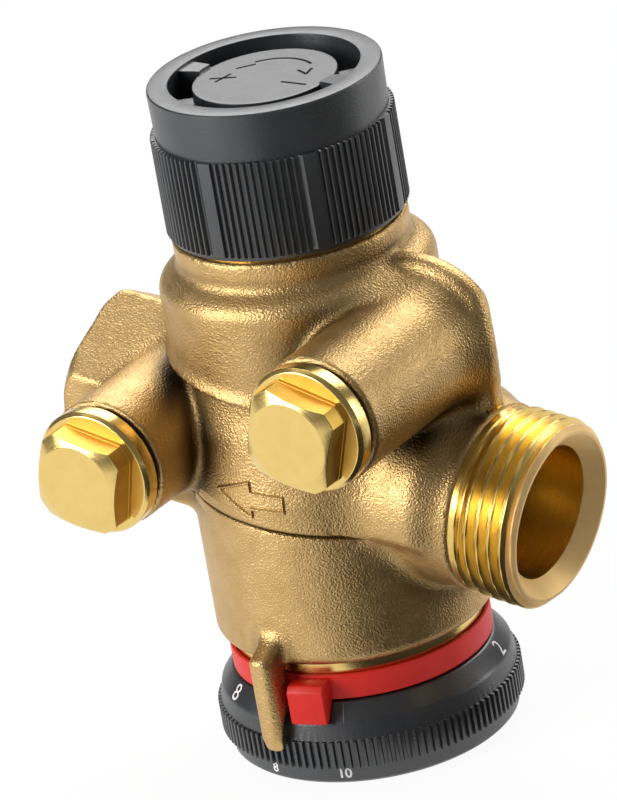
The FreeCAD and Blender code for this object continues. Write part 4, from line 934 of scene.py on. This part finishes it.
def dial_number(text, band, turn_deg, size, middle, bold):
    """Solid text bent onto a band, its middle at that turn and share of the way up; bold thickens its strokes."""
    letters = bpy.data.curves.new("dial_letters", "FONT")
    letters.body, letters.size, letters.extrude, letters.offset = text, size, 0.02, bold
    letters.align_x, letters.align_y = "CENTER", "CENTER"
    holder = bpy.data.objects.new("dial_letters", letters)
    scene.collection.objects.link(holder)
    bpy.context.view_layer.update()
    mesh = bpy.data.meshes.new_from_object(holder.evaluated_get(bpy.context.evaluated_depsgraph_get()))
    bpy.data.objects.remove(holder)
    mesh.name = "dial_%s_%d" % (text, round(turn_deg) % 360)
    mesh.materials.clear()
    u, v, w = read_places(mesh.vertices, "co").T
    (r0, z0), (r1, z1) = band
    turn = np.radians(turn_deg) + u / (r0 + (r1 - r0) * middle)
    bent = on_band(band, turn, middle + v / np.hypot(r1 - r0, z1 - z0), w + 0.02)
    mesh.vertices.foreach_set("co", (bent * MM).astype(np.float32).ravel())
    mesh.update()
    show(mesh, print_finish, *WHEEL)


for number in range(2, 11, 2):
    dial_number(str(number), CONE, 17.0 + 36.6 * (number - 2), 3.5, 0.42, 0.0)
for number in range(2, 11, 2):
    dial_number(str(number), LIP, -99.4 + 15.4 * (number - 8), 2.0, 0.45, 0.05)


# %% Dial label
def band_patch(name, start_deg, end_deg, low, high, thick, finish):
    """A thin closed sheet on the cone between two turns and two shares of the way up."""
    turn = np.radians(np.linspace(start_deg, end_deg, max(4, int(abs(end_deg - start_deg)))))[:, None]
    up = np.array([[low, low, high, high]])
    mesh = bar_mesh(name, on_band(CONE, turn, up, np.array([[-0.1, thick, thick, -0.1]])))
    show(mesh, finish, *WHEEL)


band_patch("dial_label", -65.0, -6.0, 0.05, 0.9, 0.05, dark_finish)
band_patch("label_line", -65.8, -65.5, 0.05, 0.9, 0.05, label_finish)

# %% [markdown]
# ## Locking ring
# The red ring sits on the machined foot; its tab hangs over the wheel and is gripped with a finger. The ring is
# turned; the tab is an outline carried across its width, drawn in a little at both ends so that its edges are round.

# %% Locking ring
ring_profile = eased([(16.68, 12.0), (18.2, 12.0), (18.2, 15.65), (17.68, 15.65), (17.68, 13.7), (16.68, 13.7)], 0.2,
                     closed=True)
show(turned_mesh("red_ring", ring_profile, 180, MAIN_AXIS), red_finish, "ring", "locking_ring", "red_plastic")

# %% Tab of the ring
TAB_TURN = np.radians(-78.3)
tab_outline = eased([(17.95, 15.3), (20.6, 15.3), (21.3, 14.5), (21.3, 9.7), (20.4, 9.7), (17.95, 12.4)],
                    [0.1, 0.2, 0.2, 0.25, 0.25, 0.1], closed=True)
middle = tab_outline.mean(0)
across = np.array([-2.6, -2.56, -2.42, 2.42, 2.56, 2.6])[:, None, None]
shrink = np.array([0.93, 0.98, 1.0, 1.0, 0.98, 0.93])[:, None, None]
outline = middle + shrink * (tab_outline - middle)
sideways = np.array([-np.sin(TAB_TURN), np.cos(TAB_TURN), 0])
tab = round_axis(TAB_TURN, outline[..., 0], outline[..., 1], *MAIN_AXIS) + across * sideways
show(bar_mesh("ring_tab", tab), red_finish, "ring", "locking_ring", "red_plastic", crease=40)

# %% [markdown]
# ## Springs and diaphragm
# Three pieces inside are held at both ends by parts that move apart or together: the regulator's spring, the stem's
# spring and the diaphragm's wall. Each is made in place and attached to no body, so it stays as it is when they move.

# %% Springs
def coil_mesh(name, radius, wire, low, high, turns):
    """Square wire wound in a helix, its middle at height low + wire/2 + pitch t/2pi at turn t, with closed ends."""
    turn = np.linspace(0, 2 * np.pi * turns, 48 * turns + 1)[:, None]
    half = wire / 2
    section = eased([(-half, -half), (half, -half), (half, half), (-half, half)], 0.15 * wire, closed=True, steps=3)
    middle = low + half + (high - low - wire) * turn / turn.max()
    return bar_mesh(name, round_axis(turn, radius + section[:, 0], middle + section[:, 1], *MAIN_AXIS))


show(coil_mesh("regulator_coil", 8.6, 1.2, 26.0, 34.0, 4), steel_finish, "casing", "regulator_spring", "steel",
     held=("regulator", 34.0, 26.0))
show(coil_mesh("return_coil", 4.6, 1.0, 66.5, 79.0, 5), steel_finish, "casing", "return_spring", "steel",
     held=("stem", 66.5, 79.0))

# %% Diaphragm
sheet_profile = eased([(11.5, 18.2), (14.0, 18.2), (14.0, 19.0), (12.1, 19.0), (10.3, 24.8), (5.6, 24.8), (5.6, 24.0),
                       (9.5, 24.0)], 0.12, closed=True)
show(turned_mesh("rolling_sheet", sheet_profile, 120, MAIN_AXIS), rubber_finish, "casing", "diaphragm",
     "seal_rubber", held=("regulator", 19.0, 24.0))
